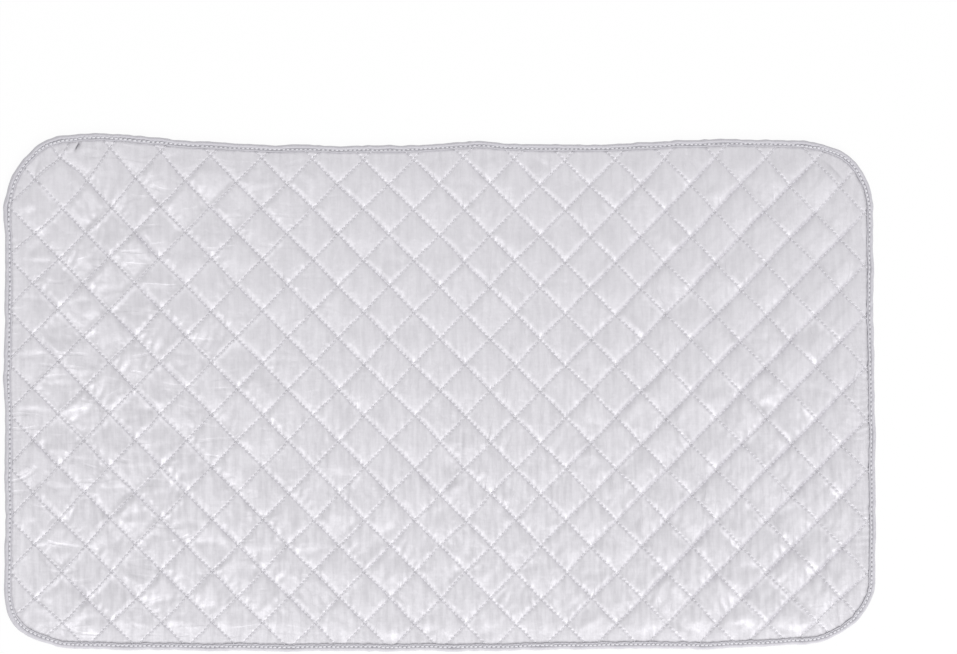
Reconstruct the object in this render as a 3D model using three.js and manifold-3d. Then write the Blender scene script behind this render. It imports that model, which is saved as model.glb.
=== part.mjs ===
// A quilted ironing pad, in millimetres, +Z up. The origin is under the middle of the pad, on the
// surface that the pad lies on; X runs along its length and Y along its width.
// A face cloth, a sheet of wadding and a backing cloth are sewn together along two crossing sets of
// straight rows. A folded tape binds the edge, and a magnet lies in a pocket near each corner.
import * as THREE from "three";
import loadManifold from "manifold-3d";

const manifold = await loadManifold();
manifold.setup();

// Driving dimensions of the pad
const PAD_LENGTH = 850;
const PAD_WIDTH = 480;
const CORNER_RADIUS = 68;
const CORNER_STEPS = 8; // straight facets along each rounded corner

// Quilting: rows at 45 degrees both ways, with a crossing in the middle of the pad
const ROW_SPACING = 34.7; // between neighbouring parallel rows
const CROWN = 2.8; // rise of the face from a row to the middle of a cell
const ROW_TURN_INSET = 4; // from the pad's edge to where a thread turns back, under the binding

// Layers
const FACE_THICKNESS = 0.5;
const BACKING_THICKNESS = 0.5;
const WADDING_AT_ROW = 0.8; // wadding pressed flat under a row of stitches
const WADDING_OVER_MAGNET = 1;

// Thread, as the flat line that a row of stitches makes
const THREAD_WIDTH = 0.6;
const THREAD_THICKNESS = 0.3;
const THREAD_SEAT = 0.3; // keeps a row clear of the cloth that rises on both sides of it

// Binding tape, folded round the edge
const TAPE_THICKNESS = 0.5;
const TAPE_COVER = 8; // how far the tape reaches in from the edge, above and below
const TAPE_BEND = 1; // outer radius of the two bends at the edge
const BEND_STEPS = 2; // straight facets along each bend
const TAPE_ROW_INSET = 6; // from the pad's edge to the row that sews the tape on

// Corner magnets and the pockets that hold them
const MAGNET_DIAMETER = 18;
const MAGNET_THICKNESS = 3;
const POCKET_PLY = 0.4;
const ROUND_SIDES = 24; // straight facets round a magnet

const CLEARANCE = 0.15; // between neighbouring pieces

// Heights: each stack lists its pieces from the bottom up as [name, thickness, gap under it].
function stackUp(pieces) {
  const levels = {};
  let z = 0;
  for (const [name, thickness, gap] of pieces) {
    levels[name] = { low: z + gap, high: z + gap + thickness };
    z = levels[name].high;
  }
  return levels;
}

const atRow = stackUp([
  ["tape_bobbin", THREAD_THICKNESS, CLEARANCE],
  ["tape_below", TAPE_THICKNESS, CLEARANCE],
  ["falling_bobbin", THREAD_THICKNESS, CLEARANCE],
  ["rising_bobbin", THREAD_THICKNESS, CLEARANCE],
  ["backing", BACKING_THICKNESS, THREAD_SEAT],
  ["wadding", WADDING_AT_ROW, CLEARANCE],
  ["face", FACE_THICKNESS, CLEARANCE],
  ["rising_needle", THREAD_THICKNESS, THREAD_SEAT],
  ["falling_needle", THREAD_THICKNESS, CLEARANCE],
  ["tape_above", TAPE_THICKNESS, CLEARANCE],
  ["tape_needle", THREAD_THICKNESS, CLEARANCE],
]);

const overMagnet = stackUp([
  ["backing", BACKING_THICKNESS, 0],
  ["pocket_floor", POCKET_PLY, CLEARANCE],
  ["magnet", MAGNET_THICKNESS, CLEARANCE],
  ["pocket_roof", POCKET_PLY, CLEARANCE],
  ["wadding", WADDING_OVER_MAGNET, CLEARANCE],
  ["face", FACE_THICKNESS, CLEARANCE],
]);

const crownHeight = atRow.face.high + CROWN;
const crownFill = crownHeight - FACE_THICKNESS - BACKING_THICKNESS - 2 * CLEARANCE;
const atCrown = stackUp([
  ["backing", BACKING_THICKNESS, 0],
  ["wadding", crownFill, CLEARANCE],
  ["face", FACE_THICKNESS, CLEARANCE],
]);

// Distances worked out from the driving dimensions
const halfDiagonal = ROW_SPACING / Math.SQRT2; // from a cell's middle to its corners
const quiltInset = TAPE_COVER + CLEARANCE; // the cells puff up as far as here
const layerInset = TAPE_THICKNESS + CLEARANCE; // the layers reach into the fold as far as here
const pocketHalf = MAGNET_DIAMETER / 2 + CLEARANCE + POCKET_PLY;
const plateauShare = (pocketHalf + CLEARANCE) / (ROW_SPACING / 2);

// The pad's rounded outline, drawn in by inset, as a ring of points that runs anticlockwise
function outlineRing(inset) {
  const ring = [];
  const sides = [[1, 1], [-1, 1], [-1, -1], [1, -1]];
  sides.forEach(([sideX, sideY], corner) => {
    for (let step = 0; step <= CORNER_STEPS; step += 1) {
      const angle = (Math.PI / 2) * (corner + step / CORNER_STEPS);
      const x = sideX * (PAD_LENGTH / 2 - CORNER_RADIUS) + (CORNER_RADIUS - inset) * Math.cos(angle);
      const y = sideY * (PAD_WIDTH / 2 - CORNER_RADIUS) + (CORNER_RADIUS - inset) * Math.sin(angle);
      ring.push(new THREE.Vector2(x, y));
    }
  });
  return ring;
}

// The straight way from a point out to the edge, and how far the point is past the corner centres
function wayOut(point) {
  const past = new THREE.Vector2(Math.abs(point.x), Math.abs(point.y));
  past.sub(new THREE.Vector2(PAD_LENGTH / 2 - CORNER_RADIUS, PAD_WIDTH / 2 - CORNER_RADIUS));
  const toEnd = past.x > past.y;
  const atCorner = past.x > 0 && past.y > 0;
  const out = atCorner ? past.clone().normalize() : new THREE.Vector2(toEnd ? 1 : 0, toEnd ? 0 : 1);
  const reach = past.dot(out);
  out.x *= Math.sign(point.x);
  out.y *= Math.sign(point.y);
  return { out, reach };
}

const isInside = (point, inset) => wayOut(point).reach <= CORNER_RADIUS - inset;

function toOutline(point, inset) {
  const { out, reach } = wayOut(point);
  return point.clone().addScaledVector(out, CORNER_RADIUS - inset - reach);
}

// Crossings of the rows are the even points of a grid of half diagonals, and cell middles the odd
// ones. A crossing past the binding's inner edge is held at that edge.
const gridPoint = ([i, j]) => new THREE.Vector2(i, j).multiplyScalar(halfDiagonal);

function quiltCells() {
  const cells = [];
  const reachX = Math.ceil(PAD_LENGTH / 2 / halfDiagonal);
  const reachY = Math.ceil(PAD_WIDTH / 2 / halfDiagonal);
  for (let i = -reachX; i <= reachX; i += 1) {
    for (let j = -reachY; j <= reachY; j += 1) {
      const middle = gridPoint([i, j]);
      const isMiddle = (i + j) % 2 !== 0;
      if (isMiddle && isInside(middle, quiltInset + TAPE_COVER / 2)) {
        const corners = [[i + 1, j], [i, j + 1], [i - 1, j], [i, j - 1]];
        const whole = corners.every((corner) => isInside(gridPoint(corner), quiltInset));
        cells.push({ middle, corners, whole });
      }
    }
  }
  return cells;
}

// The whole cell nearest each corner of the pad holds a magnet
function cornerCells(cells) {
  const whole = cells.filter((cell) => cell.whole);
  return [[1, 1], [-1, 1], [-1, -1], [1, -1]].map(([sideX, sideY]) => {
    const corner = new THREE.Vector2(sideX * PAD_LENGTH, sideY * PAD_WIDTH).multiplyScalar(0.5);
    const distance = (cell) => cell.middle.distanceTo(corner);
    return whole.reduce((best, cell) => (distance(cell) < distance(best) ? cell : best));
  });
}

const cells = quiltCells();
const magnetCells = cornerCells(cells);

// The edges that only one cell has, chained into one anticlockwise loop of point numbers
function boundaryLoop(edges) {
  const open = [...edges.values()].filter(([from, to]) => !edges.has(`${to},${from}`));
  const next = new Map(open);
  const [start] = open[0];
  const loop = [start];
  while (next.get(loop.at(-1)) !== start) loop.push(next.get(loop.at(-1)));
  return loop;
}

// How far a ring's points bring a walk round the outline: the ring's edge number plus a share of it
function placeOnRing(ring, point) {
  let best = { distance: Infinity, place: 0 };
  ring.forEach((from, k) => {
    const edge = new THREE.Line3(
      new THREE.Vector3(from.x, from.y, 0),
      new THREE.Vector3(ring[(k + 1) % ring.length].x, ring[(k + 1) % ring.length].y, 0),
    );
    const spot = new THREE.Vector3(point.x, point.y, 0);
    const share = edge.closestPointToPointParameter(spot, true);
    const distance = edge.at(share, new THREE.Vector3()).distanceTo(spot);
    if (distance < best.distance) best = { distance, place: k + share };
  });
  return best.place;
}

// The plan of the quilting, which the three layers share: points with their heights, triangles that
// face up, and the ring of points along the edge
function quiltPlan() {
  const points = [];
  const triangles = [];
  const edges = new Map();
  const crossings = new Map();
  const addPoint = (place, levels) => points.push({ place, levels }) - 1;
  const crossing = (corner) => {
    const key = corner.join();
    const place = gridPoint(corner);
    const held = isInside(place, quiltInset) ? place : toOutline(place, quiltInset);
    if (!crossings.has(key)) crossings.set(key, addPoint(held, atRow));
    return crossings.get(key);
  };

  // Cells, each a low pyramid, or a flat top with sloping sides where it holds a magnet
  for (const cell of cells) {
    const holdsMagnet = magnetCells.includes(cell);
    const levels = holdsMagnet ? overMagnet : atCrown;
    const rim = cell.corners.map(crossing);
    const middle = addPoint(cell.middle, levels);
    const share = (corner) => cell.middle.clone().lerp(points[corner].place, plateauShare);
    const top = holdsMagnet ? rim.map((corner) => addPoint(share(corner), levels)) : rim;
    rim.forEach((corner, k) => {
      const after = (k + 1) % rim.length;
      edges.set(`${corner},${rim[after]}`, [corner, rim[after]]);
      triangles.push([middle, top[k], top[after]]);
      if (holdsMagnet) {
        triangles.push([top[k], corner, rim[after]]);
        triangles.push([top[k], rim[after], top[after]]);
      }
    });
  }

  // Flat triangles fill the notches between the outermost cells
  const loop = boundaryLoop(edges);
  for (let k = 0; k < loop.length; k += 1) {
    const [before, here, after] = [-1, 0, 1].map((step) => loop.at((k + step) % loop.length));
    const into = points[here].place.clone().sub(points[before].place);
    const outOf = points[after].place.clone().sub(points[here].place);
    if (into.cross(outOf) < -ROW_SPACING) {
      triangles.push([before, after, here]);
      loop.splice(k, 1);
      k -= 1;
    }
  }

  // A flat strip runs from there to the edge: each step moves on along the nearer of its two sides
  const ring = outlineRing(layerInset);
  const edge = ring.map((place) => addPoint(place, atRow));
  const places = loop.map((point) => placeOnRing(ring, points[point].place));
  const first = places.indexOf(Math.min(...places));
  let inner = 0;
  let outer = 0;
  const innerAt = (k) => loop[(first + k) % loop.length];
  const lapOf = (k) => Math.floor(k / loop.length) * edge.length;
  const innerPlace = (k) => places[(first + k) % loop.length] + lapOf(k);
  while (inner < loop.length || outer < edge.length) {
    const outerLeft = outer < edge.length;
    const moveOuter = outerLeft && (inner === loop.length || outer + 1 <= innerPlace(inner + 1));
    const next = moveOuter ? edge[(outer + 1) % edge.length] : innerAt(inner + 1);
    triangles.push([innerAt(inner), edge[outer % edge.length], next]);
    outer += moveOuter ? 1 : 0;
    inner += moveOuter ? 0 : 1;
  }
  return { points, triangles, edge };
}

const plan = quiltPlan();

// One closed geometry from a list of points and triangles
function closedGeometry(points, triangles) {
  const geometry = new THREE.BufferGeometry();
  geometry.setAttribute("position", new THREE.Float32BufferAttribute(points.flat(), 3));
  geometry.setIndex(triangles.flat());
  geometry.computeVertexNormals();
  return geometry;
}

// A layer of the quilt: the plan at the layer's upper heights and at its lower ones, closed all round
function layerGeometry(layer) {
  const count = plan.points.length;
  const height = (side) => ({ place, levels }) => [place.x, place.y, levels[layer][side]];
  const points = [...plan.points.map(height("high")), ...plan.points.map(height("low"))];
  const upper = plan.triangles;
  const lower = upper.map(([a, b, c]) => [a + count, c + count, b + count]);
  const walls = plan.edge.flatMap((here, k) => {
    const next = plan.edge[(k + 1) % plan.edge.length];
    return [[here, here + count, next + count], [here, next + count, next]];
  });
  return closedGeometry(points, [...upper, ...lower, ...walls]);
}

// A closed band round the pad, from a section of [inset, height] points that runs anticlockwise when
// seen with the outside of the pad on the left
function bandGeometry(section) {
  const rings = section.map(([inset, z]) => outlineRing(inset).map(({ x, y }) => [x, y, z]));
  const size = rings[0].length;
  const triangles = rings.flatMap((ring, k) => ring.flatMap((_, n) => {
    const [here, above] = [k * size, ((k + 1) % rings.length) * size];
    const next = (n + 1) % size;
    return [[here + n, above + n, above + next], [here + n, above + next, here + next]];
  }));
  return closedGeometry(rings.flat(), triangles);
}

// A quarter turn of the tape, as [inset, height] points
function bendArc(radius, centreZ, fromAngle) {
  return Array.from({ length: BEND_STEPS + 1 }, (_, step) => {
    const angle = fromAngle + (Math.PI / 2) * (step / BEND_STEPS);
    return [TAPE_BEND + radius * Math.cos(angle), centreZ + radius * Math.sin(angle)];
  });
}

function bindingGeometry() {
  const { low } = atRow.tape_below;
  const { high } = atRow.tape_above;
  const inside = TAPE_BEND - TAPE_THICKNESS;
  const outerSide = [
    ...bendArc(TAPE_BEND, high - TAPE_BEND, Math.PI / 2),
    ...bendArc(TAPE_BEND, low + TAPE_BEND, Math.PI),
  ];
  const innerSide = [
    ...bendArc(inside, high - TAPE_BEND, Math.PI / 2),
    ...bendArc(inside, low + TAPE_BEND, Math.PI),
  ].reverse();
  return bandGeometry([
    [TAPE_COVER, atRow.tape_above.low],
    [TAPE_COVER, high],
    ...outerSide,
    [TAPE_COVER, low],
    [TAPE_COVER, atRow.tape_below.high],
    ...innerSide,
  ]);
}

function bindingThreadGeometry({ low, high }) {
  const [near, far] = [TAPE_ROW_INSET - THREAD_WIDTH / 2, TAPE_ROW_INSET + THREAD_WIDTH / 2];
  return bandGeometry([[far, high], [near, high], [near, low], [far, low]]);
}

// Quilting rows run along one diagonal and are joined at alternate ends by a turn under the binding
function rowEnds(ring, across, offset) {
  const ends = [];
  ring.forEach((from, k) => {
    const to = ring[(k + 1) % ring.length];
    const [before, after] = [from.dot(across) - offset, to.dot(across) - offset];
    if (before < 0 !== after < 0) {
      const share = before / (before - after);
      ends.push({ point: from.clone().lerp(to, share), place: k + share });
    }
  });
  return ends.sort((a, b) => across.cross(a.point) - across.cross(b.point));
}

function turnBetween(ring, from, to) {
  const ahead = (to - from + ring.length) % ring.length;
  const forward = ahead < ring.length / 2;
  const [start, span] = forward ? [from, ahead] : [to, ring.length - ahead];
  const turn = [];
  for (let k = Math.floor(start) + 1; k < start + span; k += 1) turn.push(ring[k % ring.length]);
  return forward ? turn : turn.reverse();
}

function quiltingPath(slope) {
  const ring = outlineRing(ROW_TURN_INSET);
  const across = new THREE.Vector2(-slope, 1).normalize();
  const rows = Math.floor((PAD_LENGTH + PAD_WIDTH) / ROW_SPACING);
  const path = [];
  let exit = null;
  for (let row = -rows; row <= rows; row += 1) {
    const ends = rowEnds(ring, across, row * ROW_SPACING);
    const [entry, leave] = row % 2 === 0 ? ends : ends.reverse();
    if (entry) {
      if (exit) path.push(...turnBetween(ring, exit.place, entry.place));
      path.push(entry.point, leave.point);
      exit = leave;
    }
  }
  return path.filter((point, k) => k === 0 || point.distanceTo(path[k - 1]) > THREAD_WIDTH);
}

// A flat thread along a path, mitred where it turns
function threadGeometry(path, { low, high }) {
  const ways = path.slice(1).map((point, k) => point.clone().sub(path[k]).normalize());
  const points = path.flatMap((point, k) => {
    const [into, outOf] = [ways[Math.max(k - 1, 0)], ways[Math.min(k, ways.length - 1)]];
    const side = new THREE.Vector2(-into.y - outOf.y, into.x + outOf.x);
    side.multiplyScalar(THREAD_WIDTH / 2 / (1 + into.dot(outOf)));
    const [left, right] = [point.clone().add(side), point.clone().sub(side)];
    return [[left, low], [left, high], [right, high], [right, low]].map(([{ x, y }, z]) => [x, y, z]);
  });
  const triangles = ways.flatMap((_, k) => [0, 1, 2, 3].flatMap((corner) => {
    const [here, next] = [4 * k + corner, 4 * k + ((corner + 1) % 4)];
    return [[here, next, next + 4], [here, next + 4, here + 4]];
  }));
  const last = points.length - 4;
  const caps = [[0, 2, 1], [0, 3, 2], [last, last + 1, last + 2], [last, last + 2, last + 3]];
  return closedGeometry(points, [...triangles, ...caps]);
}

// A pouch of two plies, round at the back and open at the front, where the magnet slips in
function pouchShape(half, front) {
  const shape = new THREE.Shape();
  shape.moveTo(front, -half);
  shape.lineTo(front, half);
  shape.lineTo(0, half);
  shape.absarc(0, 0, half, Math.PI / 2, 1.5 * Math.PI, false);
  shape.closePath();
  return shape;
}

function extruded(shape, { low, high }) {
  const options = { depth: high - low, bevelEnabled: false, curveSegments: ROUND_SIDES / 2 };
  return new THREE.ExtrudeGeometry(shape, options).translate(0, 0, low);
}

// Three.js geometry to a manifold body and back, for the one cut that needs it
function toBody(geometry) {
  const places = new Map();
  const vertices = [];
  const corners = geometry.getAttribute("position");
  const triangles = Array.from({ length: corners.count }, (_, k) => {
    const place = [corners.getX(k), corners.getY(k), corners.getZ(k)];
    const key = place.map((value) => value.toFixed(4)).join();
    if (!places.has(key)) places.set(key, vertices.push(place) - 1);
    return places.get(key);
  });
  const vertProperties = new Float32Array(vertices.flat());
  const triVerts = new Uint32Array(triangles);
  return new manifold.Manifold(new manifold.Mesh({ numProp: 3, vertProperties, triVerts }));
}

function toGeometry(body) {
  const { vertProperties, triVerts } = body.getMesh();
  const geometry = new THREE.BufferGeometry();
  geometry.setAttribute("position", new THREE.BufferAttribute(vertProperties, 3));
  geometry.setIndex(new THREE.BufferAttribute(triVerts, 1));
  geometry.computeVertexNormals();
  return geometry;
}

function pocketGeometry() {
  const { pocket_floor: floor, pocket_roof: roof } = overMagnet;
  const front = MAGNET_DIAMETER / 2;
  const hollow = { low: floor.high, high: roof.low };
  const outer = toBody(extruded(pouchShape(pocketHalf, front), { low: floor.low, high: roof.high }));
  const inner = toBody(extruded(pouchShape(pocketHalf - POCKET_PLY, front + POCKET_PLY), hollow));
  return toGeometry(outer.subtract(inner));
}

function magnetGeometry() {
  const { low, high } = overMagnet.magnet;
  const disc = new THREE.CylinderGeometry(MAGNET_DIAMETER / 2, MAGNET_DIAMETER / 2, high - low, ROUND_SIDES);
  return disc.rotateX(Math.PI / 2).translate(0, 0, (low + high) / 2);
}

// Finishes
const silverCloth = new THREE.MeshStandardMaterial({ color: 0xdddbe1, roughness: 0.5, metalness: 0.2 });
const felt = new THREE.MeshStandardMaterial({ color: 0xe8e6e0, roughness: 0.95 });
const plainCloth = new THREE.MeshStandardMaterial({ color: 0xd2d0d4, roughness: 0.85 });
const tape = new THREE.MeshStandardMaterial({ color: 0xbebcc0, roughness: 0.8 });
const thread = new THREE.MeshStandardMaterial({ color: 0xc4c2c8, roughness: 0.7 });
const ferrite = new THREE.MeshStandardMaterial({ color: 0x3a3a3c, roughness: 0.5, metalness: 0.3 });
const pouchCloth = new THREE.MeshStandardMaterial({ color: 0xeeeeee, roughness: 0.9 });

const pad = new THREE.Group();

function addPiece(name, geometry, material) {
  const mesh = new THREE.Mesh(geometry, material);
  mesh.name = name;
  pad.add(mesh);
  return mesh;
}

addPiece("backing_cloth", layerGeometry("backing"), plainCloth);
addPiece("wadding", layerGeometry("wadding"), felt);
addPiece("face_cloth", layerGeometry("face"), silverCloth);

const risingPath = quiltingPath(1);
const fallingPath = quiltingPath(-1);
addPiece("quilting_needle_thread_rising", threadGeometry(risingPath, atRow.rising_needle), thread);
addPiece("quilting_needle_thread_falling", threadGeometry(fallingPath, atRow.falling_needle), thread);
addPiece("quilting_bobbin_thread_rising", threadGeometry(risingPath, atRow.rising_bobbin), thread);
addPiece("quilting_bobbin_thread_falling", threadGeometry(fallingPath, atRow.falling_bobbin), thread);

addPiece("edge_binding", bindingGeometry(), tape);
addPiece("binding_needle_thread", bindingThreadGeometry(atRow.tape_needle), thread);
addPiece("binding_bobbin_thread", bindingThreadGeometry(atRow.tape_bobbin), thread);

// Magnets and pockets, each turned so that its pocket opens towards the corner of the pad
const cornerNames = ["back_right", "back_left", "front_left", "front_right"];
magnetCells.forEach(({ middle }, corner) => {
  const magnet = addPiece(`corner_magnet_${cornerNames[corner]}`, magnetGeometry(), ferrite);
  const pocket = addPiece(`magnet_pocket_${cornerNames[corner]}`, pocketGeometry(), pouchCloth);
  for (const piece of [magnet, pocket]) {
    piece.position.set(middle.x, middle.y, 0);
    piece.rotation.z = Math.PI / 4 + corner * (Math.PI / 2);
  }
});

export default pad;
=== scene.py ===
"""Dressed model of a quilted ironing pad.

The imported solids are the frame. The cloths, the wadding, the tape and the stitches that stand
for the soft solids are built here, with their finishes, the light and the camera.
"""

import logging
import math
from collections.abc import Iterable
from dataclasses import dataclass
from enum import Enum
from typing import Any

import bpy
import numpy as np
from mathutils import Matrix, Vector


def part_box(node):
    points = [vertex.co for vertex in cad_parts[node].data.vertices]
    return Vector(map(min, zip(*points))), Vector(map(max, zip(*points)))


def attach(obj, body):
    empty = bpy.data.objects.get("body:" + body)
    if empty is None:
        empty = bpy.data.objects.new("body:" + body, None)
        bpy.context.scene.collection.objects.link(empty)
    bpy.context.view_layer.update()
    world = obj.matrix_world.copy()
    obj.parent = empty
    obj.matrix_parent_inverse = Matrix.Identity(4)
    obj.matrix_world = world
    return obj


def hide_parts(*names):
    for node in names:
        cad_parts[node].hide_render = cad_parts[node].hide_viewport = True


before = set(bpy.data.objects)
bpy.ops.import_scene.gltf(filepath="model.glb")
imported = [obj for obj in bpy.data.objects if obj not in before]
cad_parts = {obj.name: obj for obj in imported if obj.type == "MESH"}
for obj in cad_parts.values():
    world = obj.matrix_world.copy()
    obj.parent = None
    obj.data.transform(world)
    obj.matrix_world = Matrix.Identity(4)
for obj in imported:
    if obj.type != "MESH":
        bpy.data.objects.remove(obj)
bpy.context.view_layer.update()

Array = np.ndarray
Colour = tuple[float, float, float, float]
Grain = tuple[float, float, float]

LOG = logging.getLogger("ironing_pad")
BODY = "root"
PLAN = "plan"
INSET = "inset"
SHADE = "shade"
MM = 0.001
ROOT_2 = math.sqrt(2.0)
TURN = 2.0 * math.pi
SLIVER = 1e-9


class Slot(Enum):
    """The record's material slots."""

    FACE = "face"
    FILL = "fill"
    BACKING = "backing"
    TAPE = "tape"
    THREAD = "thread"
    MAGNET = "magnet"
    POCKET = "pocket"


class RowRun(Enum):
    """The two ways that a row of quilting crosses the pad."""

    RISING = "rising"
    FALLING = "falling"


def paint(red: int, green: int, blue: int) -> Colour:
    """Turns a screen colour, with parts from 0 to 255, into a linear one by the sRGB curve."""
    linear = [((c / 255 + 0.055) / 1.055) ** 2.4 if c > 10 else c / 3294.6 for c in (red, green, blue)]
    return (linear[0], linear[1], linear[2], 1.0)


def swell(values: Array, low: float, high: float) -> Array:
    """Goes smoothly from 0 at low to 1 at high, which may be the smaller of the two."""
    share = np.clip((values - low) / (high - low), 0.0, 1.0)
    return share * share * (3.0 - 2.0 * share)


@dataclass(frozen=True)
class Onset:
    """A stretch over which something sets in, from none of it to all of it."""

    none: float
    full: float

    def at(self, values: Array) -> Array:
        """Goes smoothly from 0 at none to 1 at full."""
        return swell(values, self.none, self.full)


@dataclass(frozen=True)
class WaveBand:
    """A number of waves, from the shortest to the longest in millimetres, that add up to an uneven field."""

    count: int
    short: float
    long: float

    def over(self, rng: np.random.Generator, xy: Array) -> Array:
        """Adds up plane waves of all directions.

        Args:
            rng: The seeded source of the waves.
            xy: Points, one per row, in millimetres.

        Returns:
            The field at each point, with a spread of about 0.7.
        """
        total = np.zeros(len(xy))
        for _ in range(self.count):
            heading = rng.uniform(0.0, TURN)
            rate = TURN / rng.uniform(self.short, self.long)
            start = rng.uniform(0.0, TURN)
            total += np.sin((xy[:, 0] * math.cos(heading) + xy[:, 1] * math.sin(heading)) * rate + start)
        return total / math.sqrt(self.count)

    def round_edge(self, rng: np.random.Generator, along: Array, girth: float) -> Array:
        """Adds up waves that close on themselves round the edge.

        Args:
            rng: The seeded source of the waves.
            along: Distances along the edge.
            girth: The length of the whole edge.

        Returns:
            The field at each distance, with a spread of about 0.7.
        """
        total = np.zeros(along.shape)
        for _ in range(self.count):
            rate = TURN * round(girth / rng.uniform(self.short, self.long)) / girth
            total += np.sin(along * rate + rng.uniform(0.0, TURN)) / math.sqrt(self.count)
        return total


# Shader nodes


class Signal:
    """A socket's value that takes part in Python arithmetic."""

    def __init__(self, book: "NodeBook", socket: bpy.types.NodeSocket | None) -> None:
        """Keeps the socket and the book that adds its nodes."""
        self.book = book
        self.socket = socket

    def math(self, operation: str, *values: "Signal | float") -> "Signal":
        """Adds one Math node with its inputs in order, and gives its value."""
        return self.book.node("ShaderNodeMath", {"operation": operation}, dict(enumerate(values)))

    def __add__(self, other: "Signal | float") -> "Signal":
        """Gives self + other."""
        return self.math("ADD", self, other)

    def __radd__(self, other: float) -> "Signal":
        """Gives other + self."""
        return self.math("ADD", other, self)

    def __sub__(self, other: "Signal | float") -> "Signal":
        """Gives self - other."""
        return self.math("SUBTRACT", self, other)

    def __rsub__(self, other: float) -> "Signal":
        """Gives other - self."""
        return self.math("SUBTRACT", other, self)

    def __mul__(self, other: "Signal | float") -> "Signal":
        """Gives self * other."""
        return self.math("MULTIPLY", self, other)

    def __rmul__(self, other: float) -> "Signal":
        """Gives other * self."""
        return self.math("MULTIPLY", other, self)

    def sine(self) -> "Signal":
        """Gives the sine of self in radians."""
        return self.math("SINE", self)

    def bounce(self, reach: float) -> "Signal":
        """Gives self folded to and fro between 0 and reach."""
        return self.math("PINGPONG", self, reach)

    def least(self, other: "Signal | float") -> "Signal":
        """Gives the smaller of self and other."""
        return self.math("MINIMUM", self, other)

    def fade(self, full: float, none: float) -> "Signal":
        """Goes smoothly from 1 at full to 0 at none.

        Args:
            full: The value that gives 1.
            none: The value that gives 0.

        Returns:
            The faded value.
        """
        limits = {"From Min": full, "From Max": none, "To Min": 1.0, "To Max": 0.0}
        settings = {"interpolation_type": "SMOOTHSTEP"}
        return self.book.node("ShaderNodeMapRange", settings, {"Value": self, **limits})


class NodeBook:
    """One material's nodes."""

    NOISE_ROUGHNESS = 0.55
    FIRST_COLOUR = 6
    SECOND_COLOUR = 7
    MIXED_COLOUR = 2

    def __init__(self, name: str) -> None:
        """Starts a new, empty material.

        Args:
            name: The material's name.
        """
        self.material = bpy.data.materials.new(name)
        self.material.use_nodes = True
        self.tree = self.material.node_tree
        self.tree.nodes.clear()

    def node(
        self,
        kind: str,
        settings: dict[str, Any] | None = None,
        inputs: dict[int | str, Any] | None = None,
        output: int | str = 0,
    ) -> Signal:
        """Adds any node.

        Args:
            kind: The node's type.
            settings: Its own properties, which are set first.
            inputs: Values or signals for its sockets, by name or number.
            output: The socket that is given back.

        Returns:
            The signal of that output.
        """
        made = self.tree.nodes.new(kind)
        for name, value in (settings or {}).items():
            setattr(made, name, value)
        for key, value in (inputs or {}).items():
            if isinstance(value, Signal):
                self.tree.links.new(value.socket, made.inputs[key])
            else:
                made.inputs[key].default_value = value
        return Signal(self, made.outputs[output] if made.outputs else None)

    def plan(self) -> tuple[Signal, Signal, Signal]:
        """Reads the piece's own plan, in millimetres.

        Returns:
            The two coordinates, and the vector that holds both.
        """
        uv = self.node("ShaderNodeUVMap", {"uv_map": PLAN})
        scaled = self.node("ShaderNodeVectorMath", {"operation": "SCALE"}, {0: uv, "Scale": 1.0 / MM})
        return self._parts(scaled)

    def place(self) -> tuple[Signal, Signal, Signal]:
        """Reads the place in the row frame, in millimetres.

        Returns:
            The first two coordinates, and the vector that holds all three.
        """
        spot = self.node("ShaderNodeTexCoord", output="Object")
        scaled = self.node("ShaderNodeVectorMath", {"operation": "SCALE"}, {0: spot, "Scale": 1.0 / MM})
        return self._parts(scaled)

    def attribute(self, name: str) -> Signal:
        """Reads a value that the mesh's points carry."""
        return self.node("ShaderNodeAttribute", {"attribute_name": name}, output="Fac")

    def _parts(self, vector: Signal) -> tuple[Signal, Signal, Signal]:
        """Takes a vector apart.

        Args:
            vector: The vector.

        Returns:
            Its first two parts, and the vector itself.
        """
        first = self.node("ShaderNodeSeparateXYZ", inputs={0: vector}, output=0)
        second = self.node("ShaderNodeSeparateXYZ", inputs={0: vector}, output=1)
        return first, second, vector

    def stretch(self, vector: Signal, by: Grain) -> Signal:
        """Gives a vector multiplied part by part."""
        return self.node("ShaderNodeVectorMath", {"operation": "MULTIPLY"}, {0: vector, 1: by})

    def noise(self, vector: Signal, scale: float, detail: float = 2.0) -> Signal:
        """Gives soft noise from 0 to 1 at a scale per millimetre."""
        inputs = {"Vector": vector, "Scale": scale, "Detail": detail, "Roughness": self.NOISE_ROUGHNESS}
        return self.node("ShaderNodeTexNoise", inputs=inputs)

    def blend(self, share: Signal | float, first: Signal | Colour, second: Signal | Colour) -> Signal:
        """Mixes two colours, from the first at 0 to the second at 1."""
        inputs = {0: share, self.FIRST_COLOUR: first, self.SECOND_COLOUR: second}
        return self.node("ShaderNodeMix", {"data_type": "RGBA"}, inputs, self.MIXED_COLOUR)

    def bump(self, height: Signal, millimetres: float, strength: float = 1.0) -> Signal:
        """Gives the normal of a surface with that height on it."""
        inputs = {"Height": height, "Distance": millimetres * MM, "Strength": strength}
        return self.node("ShaderNodeBump", inputs=inputs)

    def shell(self, **sockets: Any) -> Signal:
        """Adds the surface shader, with underscores for spaces in its sockets' names."""
        inputs = {name.replace("_", " "): value for name, value in sockets.items()}
        return self.node("ShaderNodeBsdfPrincipled", inputs=inputs)

    def finish(self, surface: Signal) -> bpy.types.Material:
        """Joins a shader to the output and gives the material."""
        self.node("ShaderNodeOutputMaterial", inputs={"Surface": surface})
        return self.material


@dataclass(frozen=True)
class Ramp:
    """A value that changes with a signal, from where it starts."""

    start: float
    more: float

    def at(self, signal: Signal) -> Signal:
        """Gives the start plus the signal's part of the change."""
        return self.start + signal * self.more


# Finishes


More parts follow.
